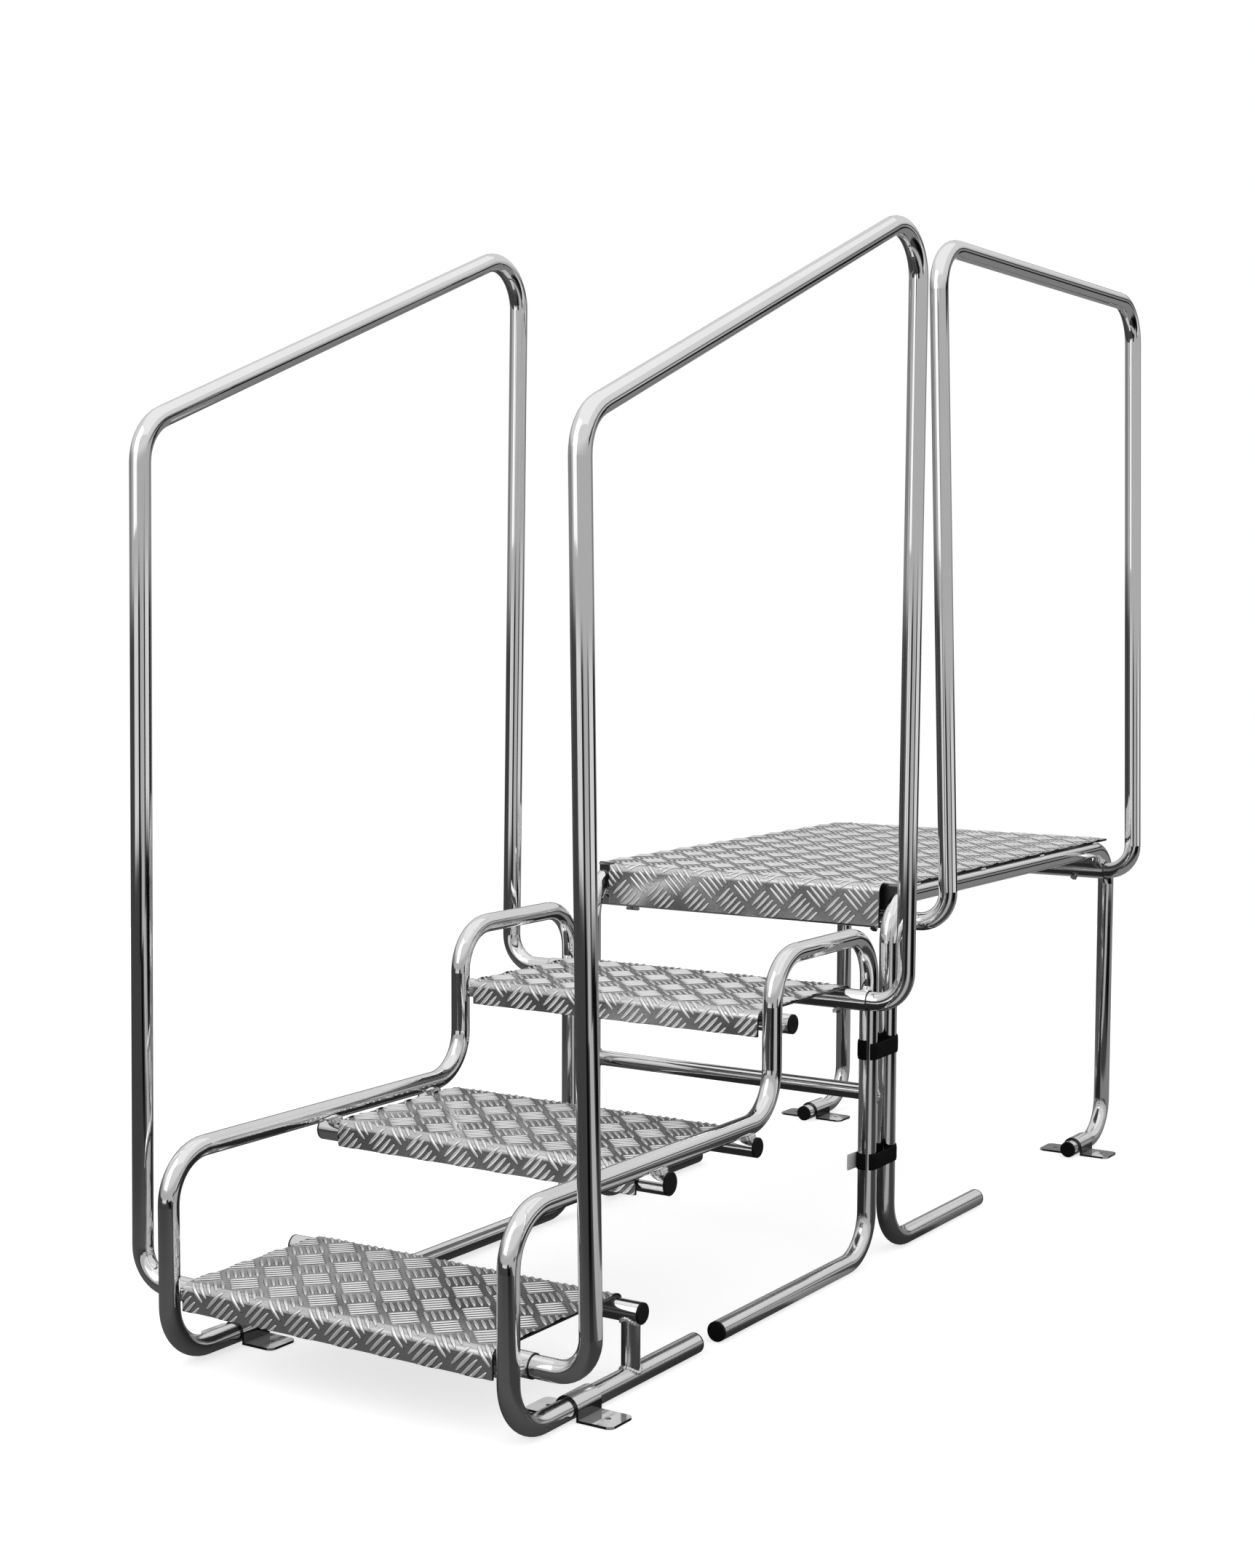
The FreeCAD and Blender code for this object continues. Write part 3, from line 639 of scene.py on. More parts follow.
def build_bar():
    """A leaf-shaped ridge: 9 stations along it with a point at each end, and 7 vertices across.
    The section holds each vertex's place across, its share of the height and its share of crown."""
    stations = [-1 + 2 * i / 8 for i in range(9)]
    across = len(bar_section)
    points = [(0.0, -bar_length / 2, -bar_sink)]
    crown = [0.0]
    for s in stations[1:-1]:
        width = bar_width / 2 * (1 - abs(s) ** 2.0) ** 0.7
        height = (bar_height + bar_sink) * (1 - s ** 6) ** 0.8
        for place, rise, bright in bar_section:
            points.append((place * width, s * bar_length / 2, -bar_sink + rise * height))
            crown.append(bright)
    points.append((0.0, bar_length / 2, -bar_sink))
    crown.append(0.0)
    last = len(points) - 1
    rows = [list(range(1 + across * k, 1 + across * (k + 1))) for k in range(len(stations) - 2)]
    faces = [(0, b, a) for a, b in zip(rows[0], rows[0][1:])]
    for low, high in zip(rows, rows[1:]):
        faces.extend((low[k], low[k + 1], high[k + 1], high[k]) for k in range(across - 1))
        faces.append((low[0], high[0], high[-1], low[-1]))
    faces.extend((last, a, b) for a, b in zip(rows[-1], rows[-1][1:]))
    faces.append((0, rows[0][0], rows[0][-1]))
    faces.append((last, rows[-1][-1], rows[-1][0]))
    mesh = bpy.data.meshes.new("raised_bar")
    mesh.from_pydata(points, [], faces)
    attribute = mesh.attributes.new("crown", "FLOAT", "POINT")
    attribute.data.foreach_set("value", crown)
    bar = bpy.data.objects.new("raised_bar", mesh)
    bpy.context.scene.collection.objects.link(bar)
    print("one bar:", len(points), "points,", len(faces), "faces")
    return bar


raised_bar = build_bar()

# %% The layout tree
def new_tree(name, inputs):
    tree = bpy.data.node_groups.new(name, "GeometryNodeTree")
    tree.interface.new_socket(name="Geometry", in_out="INPUT", socket_type="NodeSocketGeometry")
    for title, kind, value in inputs:
        socket = tree.interface.new_socket(name=title, in_out="INPUT", socket_type=kind)
        if value is not None:
            socket.default_value = value
    tree.interface.new_socket(name="Geometry", in_out="OUTPUT", socket_type="NodeSocketGeometry")
    inside = add_node(tree, "NodeGroupInput").outputs
    outside = add_node(tree, "NodeGroupOutput").inputs
    return tree, inside, outside


def combine(tree, x=0.0, y=0.0, z=0.0):
    node = add_node(tree, "ShaderNodeCombineXYZ")
    for socket, value in zip(node.inputs, (x, y, z)):
        feed(tree, socket, value)
    return node.outputs[0]


def separate(tree, vector):
    node = add_node(tree, "ShaderNodeSeparateXYZ")
    feed(tree, node.inputs[0], vector)
    return node.outputs


def compare(tree, operation, first, second):
    node = add_node(tree, "FunctionNodeCompare", data_type="FLOAT", operation=operation)
    feed(tree, node.inputs["A"], first)
    feed(tree, node.inputs["B"], second)
    return node.outputs[0]


def either(tree, first, second):
    node = add_node(tree, "FunctionNodeBooleanMath", operation="OR")
    feed(tree, node.inputs[0], first)
    feed(tree, node.inputs[1], second)
    return node.outputs[0]


def build_checker_tree():
    tree, given, made = new_tree("checker_bars", (
        ("Bar", "NodeSocketObject", None), ("Finish", "NodeSocketMaterial", None),
        ("Plate Width", "NodeSocketFloat", 0.438), ("Lip Width", "NodeSocketFloat", 0.438),
        ("Lip Length", "NodeSocketFloat", 0.05), ("Path Length", "NodeSocketFloat", 0.3),
        ("Cell", "NodeSocketFloat", 0.058), ("Bar Pitch", "NodeSocketFloat", 0.0083),
        ("Columns", "NodeSocketInt", 10), ("Rows", "NodeSocketInt", 12),
        ("First Row", "NodeSocketFloat", 0.0), ("Shift", "NodeSocketFloat", 0.0)))
    outline = add_node(tree, "GeometryNodeMeshToCurve")
    feed(tree, outline.inputs["Mesh"], given["Geometry"])

    row_pitch = compute(tree, "MULTIPLY", given["Cell"], 0.5)
    size_x = compute(tree, "MULTIPLY", given["Cell"], compute(tree, "SUBTRACT", given["Columns"], 1.0))
    size_y = compute(tree, "MULTIPLY", row_pitch, compute(tree, "SUBTRACT", given["Rows"], 1.0))
    lattice = add_node(tree, "GeometryNodeMeshGrid")
    feed(tree, lattice.inputs["Size X"], size_x)
    feed(tree, lattice.inputs["Size Y"], size_y)
    feed(tree, lattice.inputs["Vertices X"], given["Columns"])
    feed(tree, lattice.inputs["Vertices Y"], given["Rows"])
    x, y, z = separate(tree, add_node(tree, "GeometryNodeInputPosition").outputs[0])
    from_start = compute(tree, "ADD", y, compute(tree, "MULTIPLY", size_y, 0.5))
    row = compute(tree, "ROUND", compute(tree, "DIVIDE", from_start, row_pitch))
    odd = compute(tree, "MODULO", row, 2.0)
    staggered = add_node(tree, "GeometryNodeSetPosition")
    half_cell = compute(tree, "MULTIPLY", compute(tree, "SUBTRACT", odd, 0.5), row_pitch)
    lean = add_node(tree, "GeometryNodeStoreNamedAttribute", data_type="FLOAT", domain="POINT")
    feed(tree, lean.inputs["Geometry"], lattice.outputs["Mesh"])
    lean.inputs["Name"].default_value = "lean"
    feed(tree, lean.inputs["Value"], compute(
        tree, "MULTIPLY", compute(tree, "SUBTRACT", odd, 0.5), math.pi / 2))
    feed(tree, staggered.inputs["Geometry"], lean.outputs["Geometry"])
    feed(tree, staggered.inputs["Position"], combine(
        tree, compute(tree, "ADD", compute(tree, "ADD", x, half_cell), given["Shift"]),
        compute(tree, "ADD", from_start, given["First Row"])))

    def stored_lean():
        node = add_node(tree, "GeometryNodeInputNamedAttribute", data_type="FLOAT")
        node.inputs["Name"].default_value = "lean"
        return node.outputs["Attribute"]

    five = add_node(tree, "GeometryNodeMeshLine")
    five.inputs["Count"].default_value = 5
    first_bar = combine(tree, compute(tree, "MULTIPLY", given["Bar Pitch"], -2.0))
    feed(tree, five.inputs["Start Location"], first_bar)
    feed(tree, five.inputs["Offset"], combine(tree, given["Bar Pitch"]))
    groups = add_node(tree, "GeometryNodeInstanceOnPoints")
    feed(tree, groups.inputs["Points"], staggered.outputs["Geometry"])
    feed(tree, groups.inputs["Instance"], five.outputs["Mesh"])
    turn_group = add_node(tree, "FunctionNodeEulerToRotation")
    feed(tree, turn_group.inputs[0], combine(tree, z=stored_lean()))
    feed(tree, groups.inputs["Rotation"], turn_group.outputs[0])
    places = add_node(tree, "GeometryNodeRealizeInstances")
    feed(tree, places.inputs["Geometry"], groups.outputs["Instances"])

    def half_width_at(v):
        on_lip = either(tree, compare(tree, "LESS_THAN", v, given["Lip Length"]),
                        compare(tree, "GREATER_THAN", v, compute(tree, "SUBTRACT", given["Path Length"],
                                                                 given["Lip Length"])))
        switch = add_node(tree, "GeometryNodeSwitch", input_type="FLOAT")
        feed(tree, switch.inputs["Switch"], on_lip)
        feed(tree, switch.inputs["False"], given["Plate Width"])
        feed(tree, switch.inputs["True"], given["Lip Width"])
        return compute(tree, "MULTIPLY", switch.outputs[0], 0.5)

    margin = 4.5 * MM
    u, v, h = separate(tree, add_node(tree, "GeometryNodeInputPosition").outputs[0])
    beside = compare(tree, "GREATER_THAN", compute(tree, "ABSOLUTE", u),
                     compute(tree, "ADD", half_width_at(v), margin))
    before = compare(tree, "LESS_THAN", v, -margin)
    beyond = compare(tree, "GREATER_THAN", v, compute(tree, "ADD", given["Path Length"], margin))
    kept = add_node(tree, "GeometryNodeDeleteGeometry", domain="POINT")
    feed(tree, kept.inputs["Geometry"], places.outputs["Geometry"])
    feed(tree, kept.inputs["Selection"], either(tree, beside, either(tree, before, beyond)))

    bar = add_node(tree, "GeometryNodeObjectInfo")
    feed(tree, bar.inputs["Object"], given["Bar"])
    bars = add_node(tree, "GeometryNodeInstanceOnPoints")
    feed(tree, bars.inputs["Points"], kept.outputs["Geometry"])
    feed(tree, bars.inputs["Instance"], bar.outputs["Geometry"])
    turn_bar = add_node(tree, "FunctionNodeEulerToRotation")
    feed(tree, turn_bar.inputs[0], combine(tree, z=stored_lean()))
    feed(tree, bars.inputs["Rotation"], turn_bar.outputs[0])
    flat = add_node(tree, "GeometryNodeRealizeInstances")
    feed(tree, flat.inputs["Geometry"], bars.outputs["Instances"])

    u, v, h = separate(tree, add_node(tree, "GeometryNodeInputPosition").outputs[0])
    half = half_width_at(v)
    cut_u = compute(tree, "MAXIMUM", compute(tree, "MINIMUM", u, half), compute(tree, "MULTIPLY", half, -1.0))
    cut_v = compute(tree, "MAXIMUM", compute(tree, "MINIMUM", v, given["Path Length"]), 0.0)
    along = add_node(tree, "GeometryNodeSampleCurve", mode="LENGTH")
    feed(tree, along.inputs["Curves"], outline.outputs["Curve"])
    feed(tree, along.inputs["Length"], cut_v)
    outward = add_node(tree, "ShaderNodeVectorMath", operation="CROSS_PRODUCT")
    outward.inputs[0].default_value = (1.0, 0.0, 0.0)
    feed(tree, outward.inputs[1], along.outputs["Tangent"])
    unit = add_node(tree, "ShaderNodeVectorMath", operation="NORMALIZE")
    feed(tree, unit.inputs[0], outward.outputs[0])
    raised = add_node(tree, "ShaderNodeVectorMath", operation="SCALE")
    feed(tree, raised.inputs[0], unit.outputs[0])
    feed(tree, raised.inputs["Scale"], h)
    on_outline = add_node(tree, "ShaderNodeVectorMath", operation="ADD")
    feed(tree, on_outline.inputs[0], along.outputs["Position"])
    feed(tree, on_outline.inputs[1], raised.outputs[0])
    sideways = add_node(tree, "ShaderNodeVectorMath", operation="ADD")
    feed(tree, sideways.inputs[0], on_outline.outputs[0])
    feed(tree, sideways.inputs[1], combine(tree, cut_u))
    folded = add_node(tree, "GeometryNodeSetPosition")
    feed(tree, folded.inputs["Geometry"], flat.outputs["Geometry"])
    feed(tree, folded.inputs["Position"], sideways.outputs[0])
    smooth = add_node(tree, "GeometryNodeSetShadeSmooth")
    feed(tree, smooth.inputs["Geometry"], folded.outputs["Geometry"])
    painted = add_node(tree, "GeometryNodeSetMaterial")
    feed(tree, painted.inputs["Geometry"], smooth.outputs["Geometry"])
    feed(tree, painted.inputs["Material"], given["Finish"])
    feed(tree, made["Geometry"], painted.outputs["Geometry"])
    return tree


checker_tree = build_checker_tree()
print("checker tree", len(checker_tree.nodes), "nodes")

# %% [markdown]
# A tree works on an object. Its host here is a thin line of points, and once the tree has been run the result
# is baked to a plain mesh on a new object at the origin. The host goes away, because only the result is part
# of the step.

# %% Run a tree and keep its mesh
def bake(name, host_mesh, tree, values):
    host = bpy.data.objects.new(name + "_host", host_mesh)
    bpy.context.scene.collection.objects.link(host)
    modifier = host.modifiers.new("tree", "NODES")
    modifier.node_group = tree
    sockets = {item.name: item.identifier for item in tree.interface.items_tree
               if item.item_type == "SOCKET" and item.in_out == "INPUT"}
    for title, value in values.items():
        modifier[sockets[title]] = value
    host.update_tag()
    evaluated = host.evaluated_get(bpy.context.evaluated_depsgraph_get())
    mesh = bpy.data.meshes.new_from_object(evaluated)
    bpy.data.objects.remove(host)
    mesh.name = name
    piece = bpy.data.objects.new(name, mesh)
    bpy.context.scene.collection.objects.link(piece)
    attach(piece, "root")
    print(name, len(mesh.polygons), "faces")
    return piece


def line_mesh(name, chains, closed=False):
    """Points joined in chains, as a mesh of edges."""
    points, edges = [], []
    for chain in chains:
        first = len(points)
        points.extend(chain)
        edges.extend((first + i, first + i + 1) for i in range(len(chain) - 1))
        if closed:
            edges.append((len(points) - 1, first))
    mesh = bpy.data.meshes.new(name)
    mesh.from_pydata(points, edges, [])
    return mesh

# %% The plates' outlines
plate_thickness = 3 * MM
nosing_radius = 10 * MM
arc_steps = 12


def arc(centre_y, centre_z, radius, start, end):
    """Points on an arc in a YZ plane, angles in degrees from +Y towards +Z, both ends included."""
    angles = [math.radians(start + (end - start) * i / arc_steps) for i in range(arc_steps + 1)]
    return [(0.0, centre_y + radius * math.cos(a), centre_z + radius * math.sin(a)) for a in angles]


def path_length(points):
    return sum((Vector(b) - Vector(a)).length for a, b in zip(points, points[1:]))


def tread_outline(node, roll_radius):
    """From the front lip's edge up round the nosing, back over the top and down the rolled rear edge."""
    low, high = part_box(node)
    front = [(0.0, low.y, low.z)] + arc(low.y + nosing_radius, high.z - nosing_radius, nosing_radius, 180, 90)
    return front + arc(high.y - roll_radius, high.z - roll_radius, roll_radius, 90, 0)


def deck_outline(node):
    low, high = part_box(node)
    front = [(0.0, low.y, low.z)] + arc(low.y + nosing_radius, high.z - nosing_radius, nosing_radius, 180, 90)
    rear = arc(high.y - nosing_radius, high.z - nosing_radius, nosing_radius, 90, 0)
    return front + rear + [(0.0, high.y, low.z)]


cell = 58 * MM
lip_width = 438 * MM          # the deck's lips end short of its sides
lip_margin = 6 * MM           # of plate past the fold that is as narrow as the lip
roll_radii = {"tread_1": 15.5 * MM, "tread_2": 15.5 * MM, "tread_3": 17 * MM}
pattern_starts = {"tread_1": (8 * MM, 0.0), "tread_2": (8 * MM, 12 * MM), "tread_3": (8 * MM, 20 * MM),
                  "platform_deck": (13 * MM, 0.0)}
for name, (first_row, shift) in pattern_starts.items():
    outline = deck_outline(name) if name == "platform_deck" else tread_outline(name, roll_radii[name])
    low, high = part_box(name)
    length = path_length(outline)
    lip_length = high.z - low.z - nosing_radius + nosing_radius * math.pi / 2 + lip_margin
    rows = 2 + math.ceil(length / (cell / 2))
    bake(name + "_bars", line_mesh(name + "_outline", [outline]), checker_tree, {
        "Bar": raised_bar, "Finish": checker_bars, "Plate Width": high.x - low.x, "Lip Width": lip_width,
        "Lip Length": lip_length if name == "platform_deck" else 0.0, "Path Length": length, "Cell": cell,
        "Bar Pitch": bar_pitch, "Columns": 2 + math.ceil((high.x - low.x) / cell), "Rows": rows,
        "First Row": first_row, "Shift": shift})
bpy.data.objects.remove(raised_bar)

# %% [markdown]
# Every joint of the frames is welded. The bead is a thin rope of metal that follows the seam and swells and
# shrinks as the welder moved along. Each seam is worked out from the two tubes that meet there, and one tree
# turns all the seams into rippled beads.

# %% The bead tree
def build_bead_tree():
    tree, given, made = new_tree("weld_bead", (
        ("Finish", "NodeSocketMaterial", None), ("Bead Radius", "NodeSocketFloat", 0.0019),
        ("Ripple Pitch", "NodeSocketFloat", 0.0026), ("Ripple Share", "NodeSocketFloat", 0.22)))
    seams = add_node(tree, "GeometryNodeMeshToCurve")
    feed(tree, seams.inputs["Mesh"], given["Geometry"])
    even = add_node(tree, "GeometryNodeResampleCurve", mode="LENGTH")
    feed(tree, even.inputs["Curve"], seams.outputs["Curve"])
    even.inputs["Length"].default_value = 0.0007
    along = add_node(tree, "GeometryNodeSplineParameter").outputs["Length"]
    turns = compute(tree, "MULTIPLY", compute(tree, "DIVIDE", along, given["Ripple Pitch"]), 2 * math.pi)
    ripple = compute(tree, "MULTIPLY_ADD", compute(tree, "SINE", turns), given["Ripple Share"], 1.0)
    ring = add_node(tree, "GeometryNodeCurvePrimitiveCircle")
    ring.inputs["Resolution"].default_value = 8
    feed(tree, ring.inputs["Radius"], given["Bead Radius"])
    rope = add_node(tree, "GeometryNodeCurveToMesh")
    feed(tree, rope.inputs["Curve"], even.outputs["Curve"])
    feed(tree, rope.inputs["Profile Curve"], ring.outputs["Curve"])
    feed(tree, rope.inputs["Scale"], ripple)
    rope.inputs["Fill Caps"].default_value = True
    smooth = add_node(tree, "GeometryNodeSetShadeSmooth")
    feed(tree, smooth.inputs["Geometry"], rope.outputs["Mesh"])
    whole = add_node(tree, "GeometryNodeRealizeInstances")
    feed(tree, whole.inputs["Geometry"], smooth.outputs["Geometry"])
    painted = add_node(tree, "GeometryNodeSetMaterial")
    feed(tree, painted.inputs["Geometry"], whole.outputs["Geometry"])
    feed(tree, painted.inputs["Material"], given["Finish"])
    feed(tree, made["Geometry"], painted.outputs["Geometry"])
    return tree


bead_tree = build_bead_tree()
print("bead tree", len(bead_tree.nodes), "nodes")

# %% The seams
def middle(node):
    low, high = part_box(node)
    return (low + high) / 2


tube_radius = 12.5 * MM
brace_radius = 11 * MM
seam_steps = 40
angles = [2 * math.pi * i / seam_steps for i in range(seam_steps)]


def touching_seam(contact, towards_second, first_axis, first_radius, second_axis, second_radius):
    """A ring round the point where two crossing tubes touch, in the gap between them."""
    reach = 8.5 * MM
    ring = []
    for angle in angles:
        on_first = reach * math.cos(angle)
        on_second = reach * math.sin(angle)
        lift = (on_first ** 2 / (2 * second_radius) - on_second ** 2 / (2 * first_radius)) / 2
        ring.append(Vector(contact) + Vector(first_axis) * on_first + Vector(second_axis) * on_second
                    + Vector(towards_second) * lift)
    return ring


def seams_of_step():
    rings = []
    x_axis, y_axis, z_axis = Vector((1, 0, 0)), Vector((0, 1, 0)), Vector((0, 0, 1))
    frame_low, frame_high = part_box("step_side_frame_right")
    front_leg_y = frame_low.y + tube_radius
    rear_leg_y = frame_high.y - tube_radius
    for side in (-1, 1):
        x = side * middle("step_side_frame_right").x
        for node, leg_y in (("tread_1_front_sleeve", front_leg_y), ("tread_3_rear_sleeve", rear_leg_y),
                            ("tread_3_front_tube", middle("tread_3_front_tube").y - 2 * tube_radius)):
            tube = middle(node)
            low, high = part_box(node)
            radius = (high.z - low.z) / 2
            facing = y_axis if tube.y > leg_y else -y_axis
            contact = Vector((x, leg_y, tube.z)) + facing * tube_radius
            rings.append(touching_seam(contact, facing, z_axis, tube_radius, x_axis, radius))
        for node in ("tread_2_front_tube", "tread_2_rear_tube"):
            low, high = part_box(node)
            contact = Vector((x, (low.y + high.y) / 2, high.z))
            rings.append(touching_seam(contact, -z_axis, y_axis, tube_radius, x_axis, (high.z - low.z) / 2))
        post_low, post_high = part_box("stub_post_right")
        post_y = (post_low.y + post_high.y) / 2
        tube_z = middle("tread_1_rear_tube").z
        foot, head = [], []
        for angle in angles:
            across, along = brace_radius * math.cos(angle), brace_radius * math.sin(angle)
            foot.append((x + across, post_y + along, tube_radius + math.sqrt(tube_radius ** 2 - across ** 2)))
            head.append((x + across, post_y + along, tube_z - math.sqrt(tube_radius ** 2 - along ** 2)))
        rings.extend((foot, head))
    return rings


def seams_of_platform():
    rings = []
    frame_low, frame_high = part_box("platform_side_frame_right")
    bar = middle("platform_crossbar")
    bend_radius = 60 * MM
    for side in (-1, 1):
        x = side * middle("platform_side_frame_right").x
        ring = []
        for angle in angles:
            across, up = brace_radius * math.cos(angle), brace_radius * math.sin(angle)
            ring.append((x - side * math.sqrt(tube_radius ** 2 - across ** 2), bar.y + across, bar.z + up))
        rings.append(ring)
        for node, leg_y, inward in (("platform_front_sleeve", frame_low.y + tube_radius, 1),
                                    ("platform_rear_sleeve", frame_high.y - tube_radius, -1)):
            centre = Vector((x, leg_y + inward * bend_radius, frame_high.z - tube_radius - bend_radius))
            sleeve = middle(node)
            towards_centre = (centre - Vector((x, sleeve.y, sleeve.z))).normalized()
            low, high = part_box(node)
            radius = (high.z - low.z) / 2
            contact = Vector((x, sleeve.y, sleeve.z)) - towards_centre * radius
            along_bend = Vector((0, -towards_centre.z, towards_centre.y))
            rings.append(touching_seam(contact, towards_centre, along_bend, tube_radius, Vector((1, 0, 0)),
                                       radius))
    return rings


tack_length = 14 * MM
tack_depth = 1 * MM           # below the tube's top


def tacks_of_deck():
    """Short beads between the deck's edge and the tube below it."""
    low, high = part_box("platform_deck")
    tube_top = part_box("platform_side_frame_right")[1].z
    chains = []
    for side in (-1, 1):
        x = side * (high.x - 1.5 * MM)
        for share in (0.08, 0.36, 0.64, 0.92):
            y, z = low.y + share * (high.y - low.y), tube_top - tack_depth
            chains.append([(x, y - tack_length / 2, z), (x, y + tack_length / 2, z)])
    return chains


step_seams, platform_seams, deck_tacks = seams_of_step(), seams_of_platform(), tacks_of_deck()
print("seams", len(step_seams), len(platform_seams), "tacks", len(deck_tacks))

# %% Bake the beads
bead_values = {"Finish": weld_steel, "Bead Radius": 2.4 * MM, "Ripple Pitch": 3.2 * MM, "Ripple Share": 0.2}
bake("step_weld_beads", line_mesh("step_seams", step_seams, closed=True), bead_tree, bead_values)
bake("platform_weld_beads", line_mesh("platform_seams", platform_seams, closed=True), bead_tree, bead_values)
bake("deck_tack_welds", line_mesh("deck_tacks", deck_tacks), bead_tree, bead_values)

# %% [markdown]
# The deck's front corners are notched behind the lip; a dark plate in each notch is painted shade for its
# inside.
# Each is a thin plate with one corner cut off, drawn as a profile and given its thickness.

# %% The painted shade plates in the deck's corners
shade_plate_inner_x = 196 * MM        # hidden behind the lip
shade_plate_side_gap = 1 * MM
shade_plate_setback = 16 * MM         # the notch's depth, from the lip's face
shade_plate_thickness = 2 * MM
shade_plate_drop = 36 * MM            # of the lower edge below the deck's top
shade_plate_corner = (6 * MM, 12 * MM)


def build_notch_shade_plates(name, node):
    low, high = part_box(node)
    inner_x, outer_x = shade_plate_inner_x, high.x - shade_plate_side_gap
    front_y, rear_y = low.y + shade_plate_setback, low.y + shade_plate_setback + shade_plate_thickness
    bottom_z, top_z = high.z - shade_plate_drop, high.z - plate_thickness
    profile = [(inner_x, bottom_z), (outer_x - shade_plate_corner[0], bottom_z), (outer_x, bottom_z + shade_plate_corner[1]),
               (outer_x, top_z), (inner_x, top_z)]
    points, faces = [], []
    for side in (-1, 1):
        first = len(points)
        order = profile if side > 0 else [(x, z) for x, z in reversed(profile)]
        count = len(order)
        points.extend((side * x, front_y, z) for x, z in order)
        points.extend((side * x, rear_y, z) for x, z in order)
        faces.append(tuple(first + i for i in range(count)))
        faces.append(tuple(first + count + i for i in reversed(range(count))))
        for i in range(count):
            j = (i + 1) % count
            faces.append((first + i, first + count + i, first + count + j, first + j))
    mesh = bpy.data.meshes.new(name)
    mesh.from_pydata(points, [], faces)
    mesh.materials.append(cut_and_shade_steel)
    piece = bpy.data.objects.new(name, mesh)
    bpy.context.scene.collection.objects.link(piece)
    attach(piece, "root")
    print(name, len(faces), "faces")


# Painted shade: dark plates stand for the shadowed inside of the notches.
build_notch_shade_plates("deck_corner_webs", "platform_deck")

# %% [markdown]
# Each socket sleeve was sawn off, and its cut end stayed dull and dark. A thin dark ring of its own on each
# mouth shows that cut and is also painted shade for the gap round the entering tube, which is what tells the
# eye that one tube enters another.

# %% The cut ends of the sleeves, and painted shade at their mouths
sleeve_radius = 14 * MM


def build_cut_and_shade_rings(name, sleeves):
    steps = 64
    outer, inner, depth = sleeve_radius, tube_radius + 0.1 * MM, 0.4 * MM
    points, faces = [], []
    for node in sleeves:
        low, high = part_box(node)
        centre = (low + high) / 2
        for face_x, outward in ((low.x, -1), (high.x, 1)):
            first = len(points)
            for i in range(steps):
                angle = outward * 2 * math.pi * i / steps
                for radius, away in ((inner, -depth), (outer, -depth), (outer, depth), (inner, depth)):
                    points.append((face_x + outward * away, centre.y + radius * math.cos(angle),
                                   centre.z + radius * math.sin(angle)))
            for i in range(steps):
                for k in range(4):
                    a, b = first + 4 * i + k, first + 4 * i + (k + 1) % 4
                    c, d = first + 4 * ((i + 1) % steps) + (k + 1) % 4, first + 4 * ((i + 1) % steps) + k
                    faces.append((d, c, b, a))
    mesh = bpy.data.meshes.new(name)
    mesh.from_pydata(points, [], faces)
    mesh.materials.append(cut_and_shade_steel)
    piece = bpy.data.objects.new(name, mesh)
    bpy.context.scene.collection.objects.link(piece)
    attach(piece, "root")
    print(name, len(faces), "faces")


# Dark rings: the sawn ends' own colour, and painted shade of the gap at each mouth.
build_cut_and_shade_rings("sleeve_cut_ends", ("tread_1_front_sleeve", "tread_3_rear_sleeve", "platform_front_sleeve",
                                   "platform_rear_sleeve"))

# %% [markdown]
# Two black straps tie the units together, each wrapped round the step's right rear leg and the platform's
# right front leg. Webbing is soft, so the solid band is replaced by a band of its own: it thins towards its
# edges, its ends leave a slot that faces the front, and the upper one is drawn in where it was pulled tight.
# The band is modelled directly along its path, with a UV map in millimetres for the weave. The lower one has
# a pale tail.

# %% The straps
strap_thickness = 1.8 * MM
strap_height = 21.5 * MM
strap_wide_height = 26 * MM   # where the upper band isn't drawn in
strap_rows = 7
strap_turn = math.radians(-63)
strap_slot = 5 * MM
strap_tilt = 0.01


def band_path(centre_x, first_y, second_y, radius):
    """Points and outward directions round two legs, from one end at the slot to the other."""
    spacing = second_y - first_y
    half_slot = strap_slot / radius / 2
    steps = 48
    path = []
    for i in range(steps + 1):
        angle = strap_turn + half_slot + (2 * math.pi - 2 * half_slot) * i / steps
        outward = Vector((math.cos(angle), math.sin(angle), 0))
        point = Vector((centre_x, first_y, 0)) + outward * radius
        if outward.y > 0:
            point.y += spacing
        if path and (point - path[-1][0]).length > spacing * 0.6:
            before, turned = path[-1]
            path.extend((before.lerp(point, k / 8), turned.lerp(outward, k / 8).normalized())
                        for k in range(1, 8))
        path.append((point, outward))
    return path


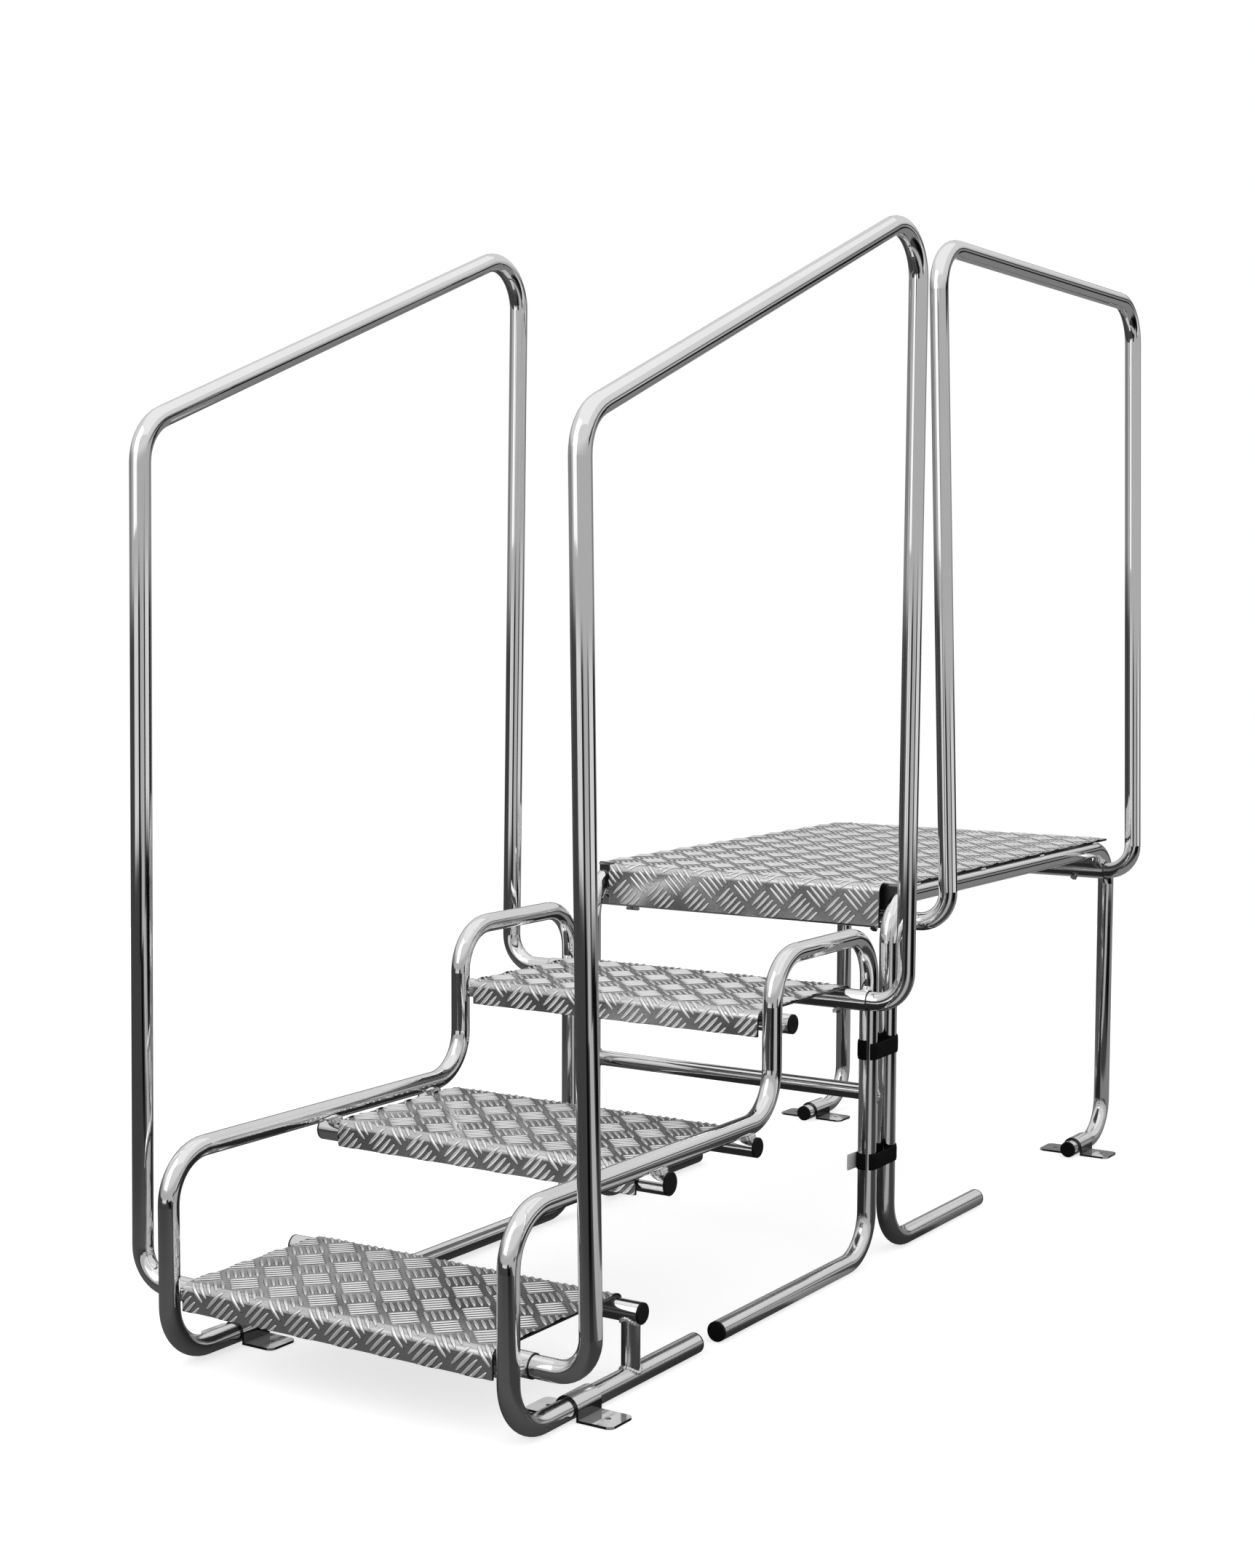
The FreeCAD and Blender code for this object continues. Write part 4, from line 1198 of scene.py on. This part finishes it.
def ribbon(name, path, heights, level, tilt, material):
    """A closed band along a path. Its height runs from the first to the second of heights, bottom kept."""
    points, uvs, faces = [], [], []
    around = 2 * strap_rows
    travelled = 0.0
    across = [-1 + 2 * row / (strap_rows - 1) for row in range(strap_rows)]
    for index, (point, outward) in enumerate(path):
        if index:
            travelled += (point - path[index - 1][0]).length
        height = heights[0] + (heights[1] - heights[0]) * index / (len(path) - 1)
        middle_z = level + (height - heights[0]) / 2 + (point.y - path[0][0].y) * tilt
        for face_side, order in ((1, across), (-1, across[::-1])):
            for place_across in order:
                swell = math.sqrt(1 - 0.9 * abs(place_across) ** 6)
                place = point + outward * (face_side * strap_thickness / 2 * swell)
                points.append((place.x, place.y, middle_z + place_across * height / 2))
                uvs.append((travelled / MM, place_across * height / 2 / MM))
    for index in range(len(path) - 1):
        for k in range(around):
            a, b = index * around + k, index * around + (k + 1) % around
            faces.append((a, a + around, b + around, b))
    faces.append(tuple(range(around)))
    faces.append(tuple(reversed(range((len(path) - 1) * around, len(path) * around))))
    mesh = bpy.data.meshes.new(name)
    mesh.from_pydata(points, [], faces)
    uv_layer = mesh.uv_layers.new(name="UVMap")
    for loop in mesh.loops:
        uv_layer.data[loop.index].uv = uvs[loop.vertex_index]
    for polygon in mesh.polygons:
        polygon.use_smooth = len(polygon.vertices) == 4
    mesh.materials.append(material)
    strap = bpy.data.objects.new(name, mesh)
    bpy.context.scene.collection.objects.link(strap)
    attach(strap, "root")
    print(name, len(mesh.polygons), "faces")
    return strap


def build_strap(name, node, heights):
    low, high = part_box(node)
    radius = (high.x - low.x) / 2 - strap_thickness / 2
    second_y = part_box("platform_side_frame_right")[0].y + tube_radius
    path = band_path((low.x + high.x) / 2, step_rear_leg_y, second_y, radius)
    strap = ribbon(name, path, heights, (low.z + high.z) / 2, strap_tilt, strap_webbing)
    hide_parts(node)


def build_tail(name, node, steps=6, spread=0.3 * MM):
    """The loose end beside the step's leg. It spreads a little outwards from the band."""
    low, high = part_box(node)
    start_x = low.x + strap_thickness / 2
    path = [(Vector((start_x - spread * k, step_rear_leg_y + (low.y - step_rear_leg_y) * k / steps, 0)),
             Vector((-1, 0, 0))) for k in range(steps + 1)]
    ribbon(name, path, (strap_height, strap_height), (low.z + high.z) / 2, 0.0, strap_lining)


step_rear_leg_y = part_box("step_side_frame_right")[1].y - tube_radius
build_strap("strap_band_upper", "strap_upper", (strap_height, strap_wide_height))
build_strap("strap_band_lower", "strap_lower", (strap_height, strap_height))
build_tail("strap_tail", "strap_lower")

# %% [markdown]
# The visual model's box is printed at the end.

# %% Measure and finish
low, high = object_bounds()
print("visual box", [round(v, 4) for v in low], [round(v, 4) for v in high])
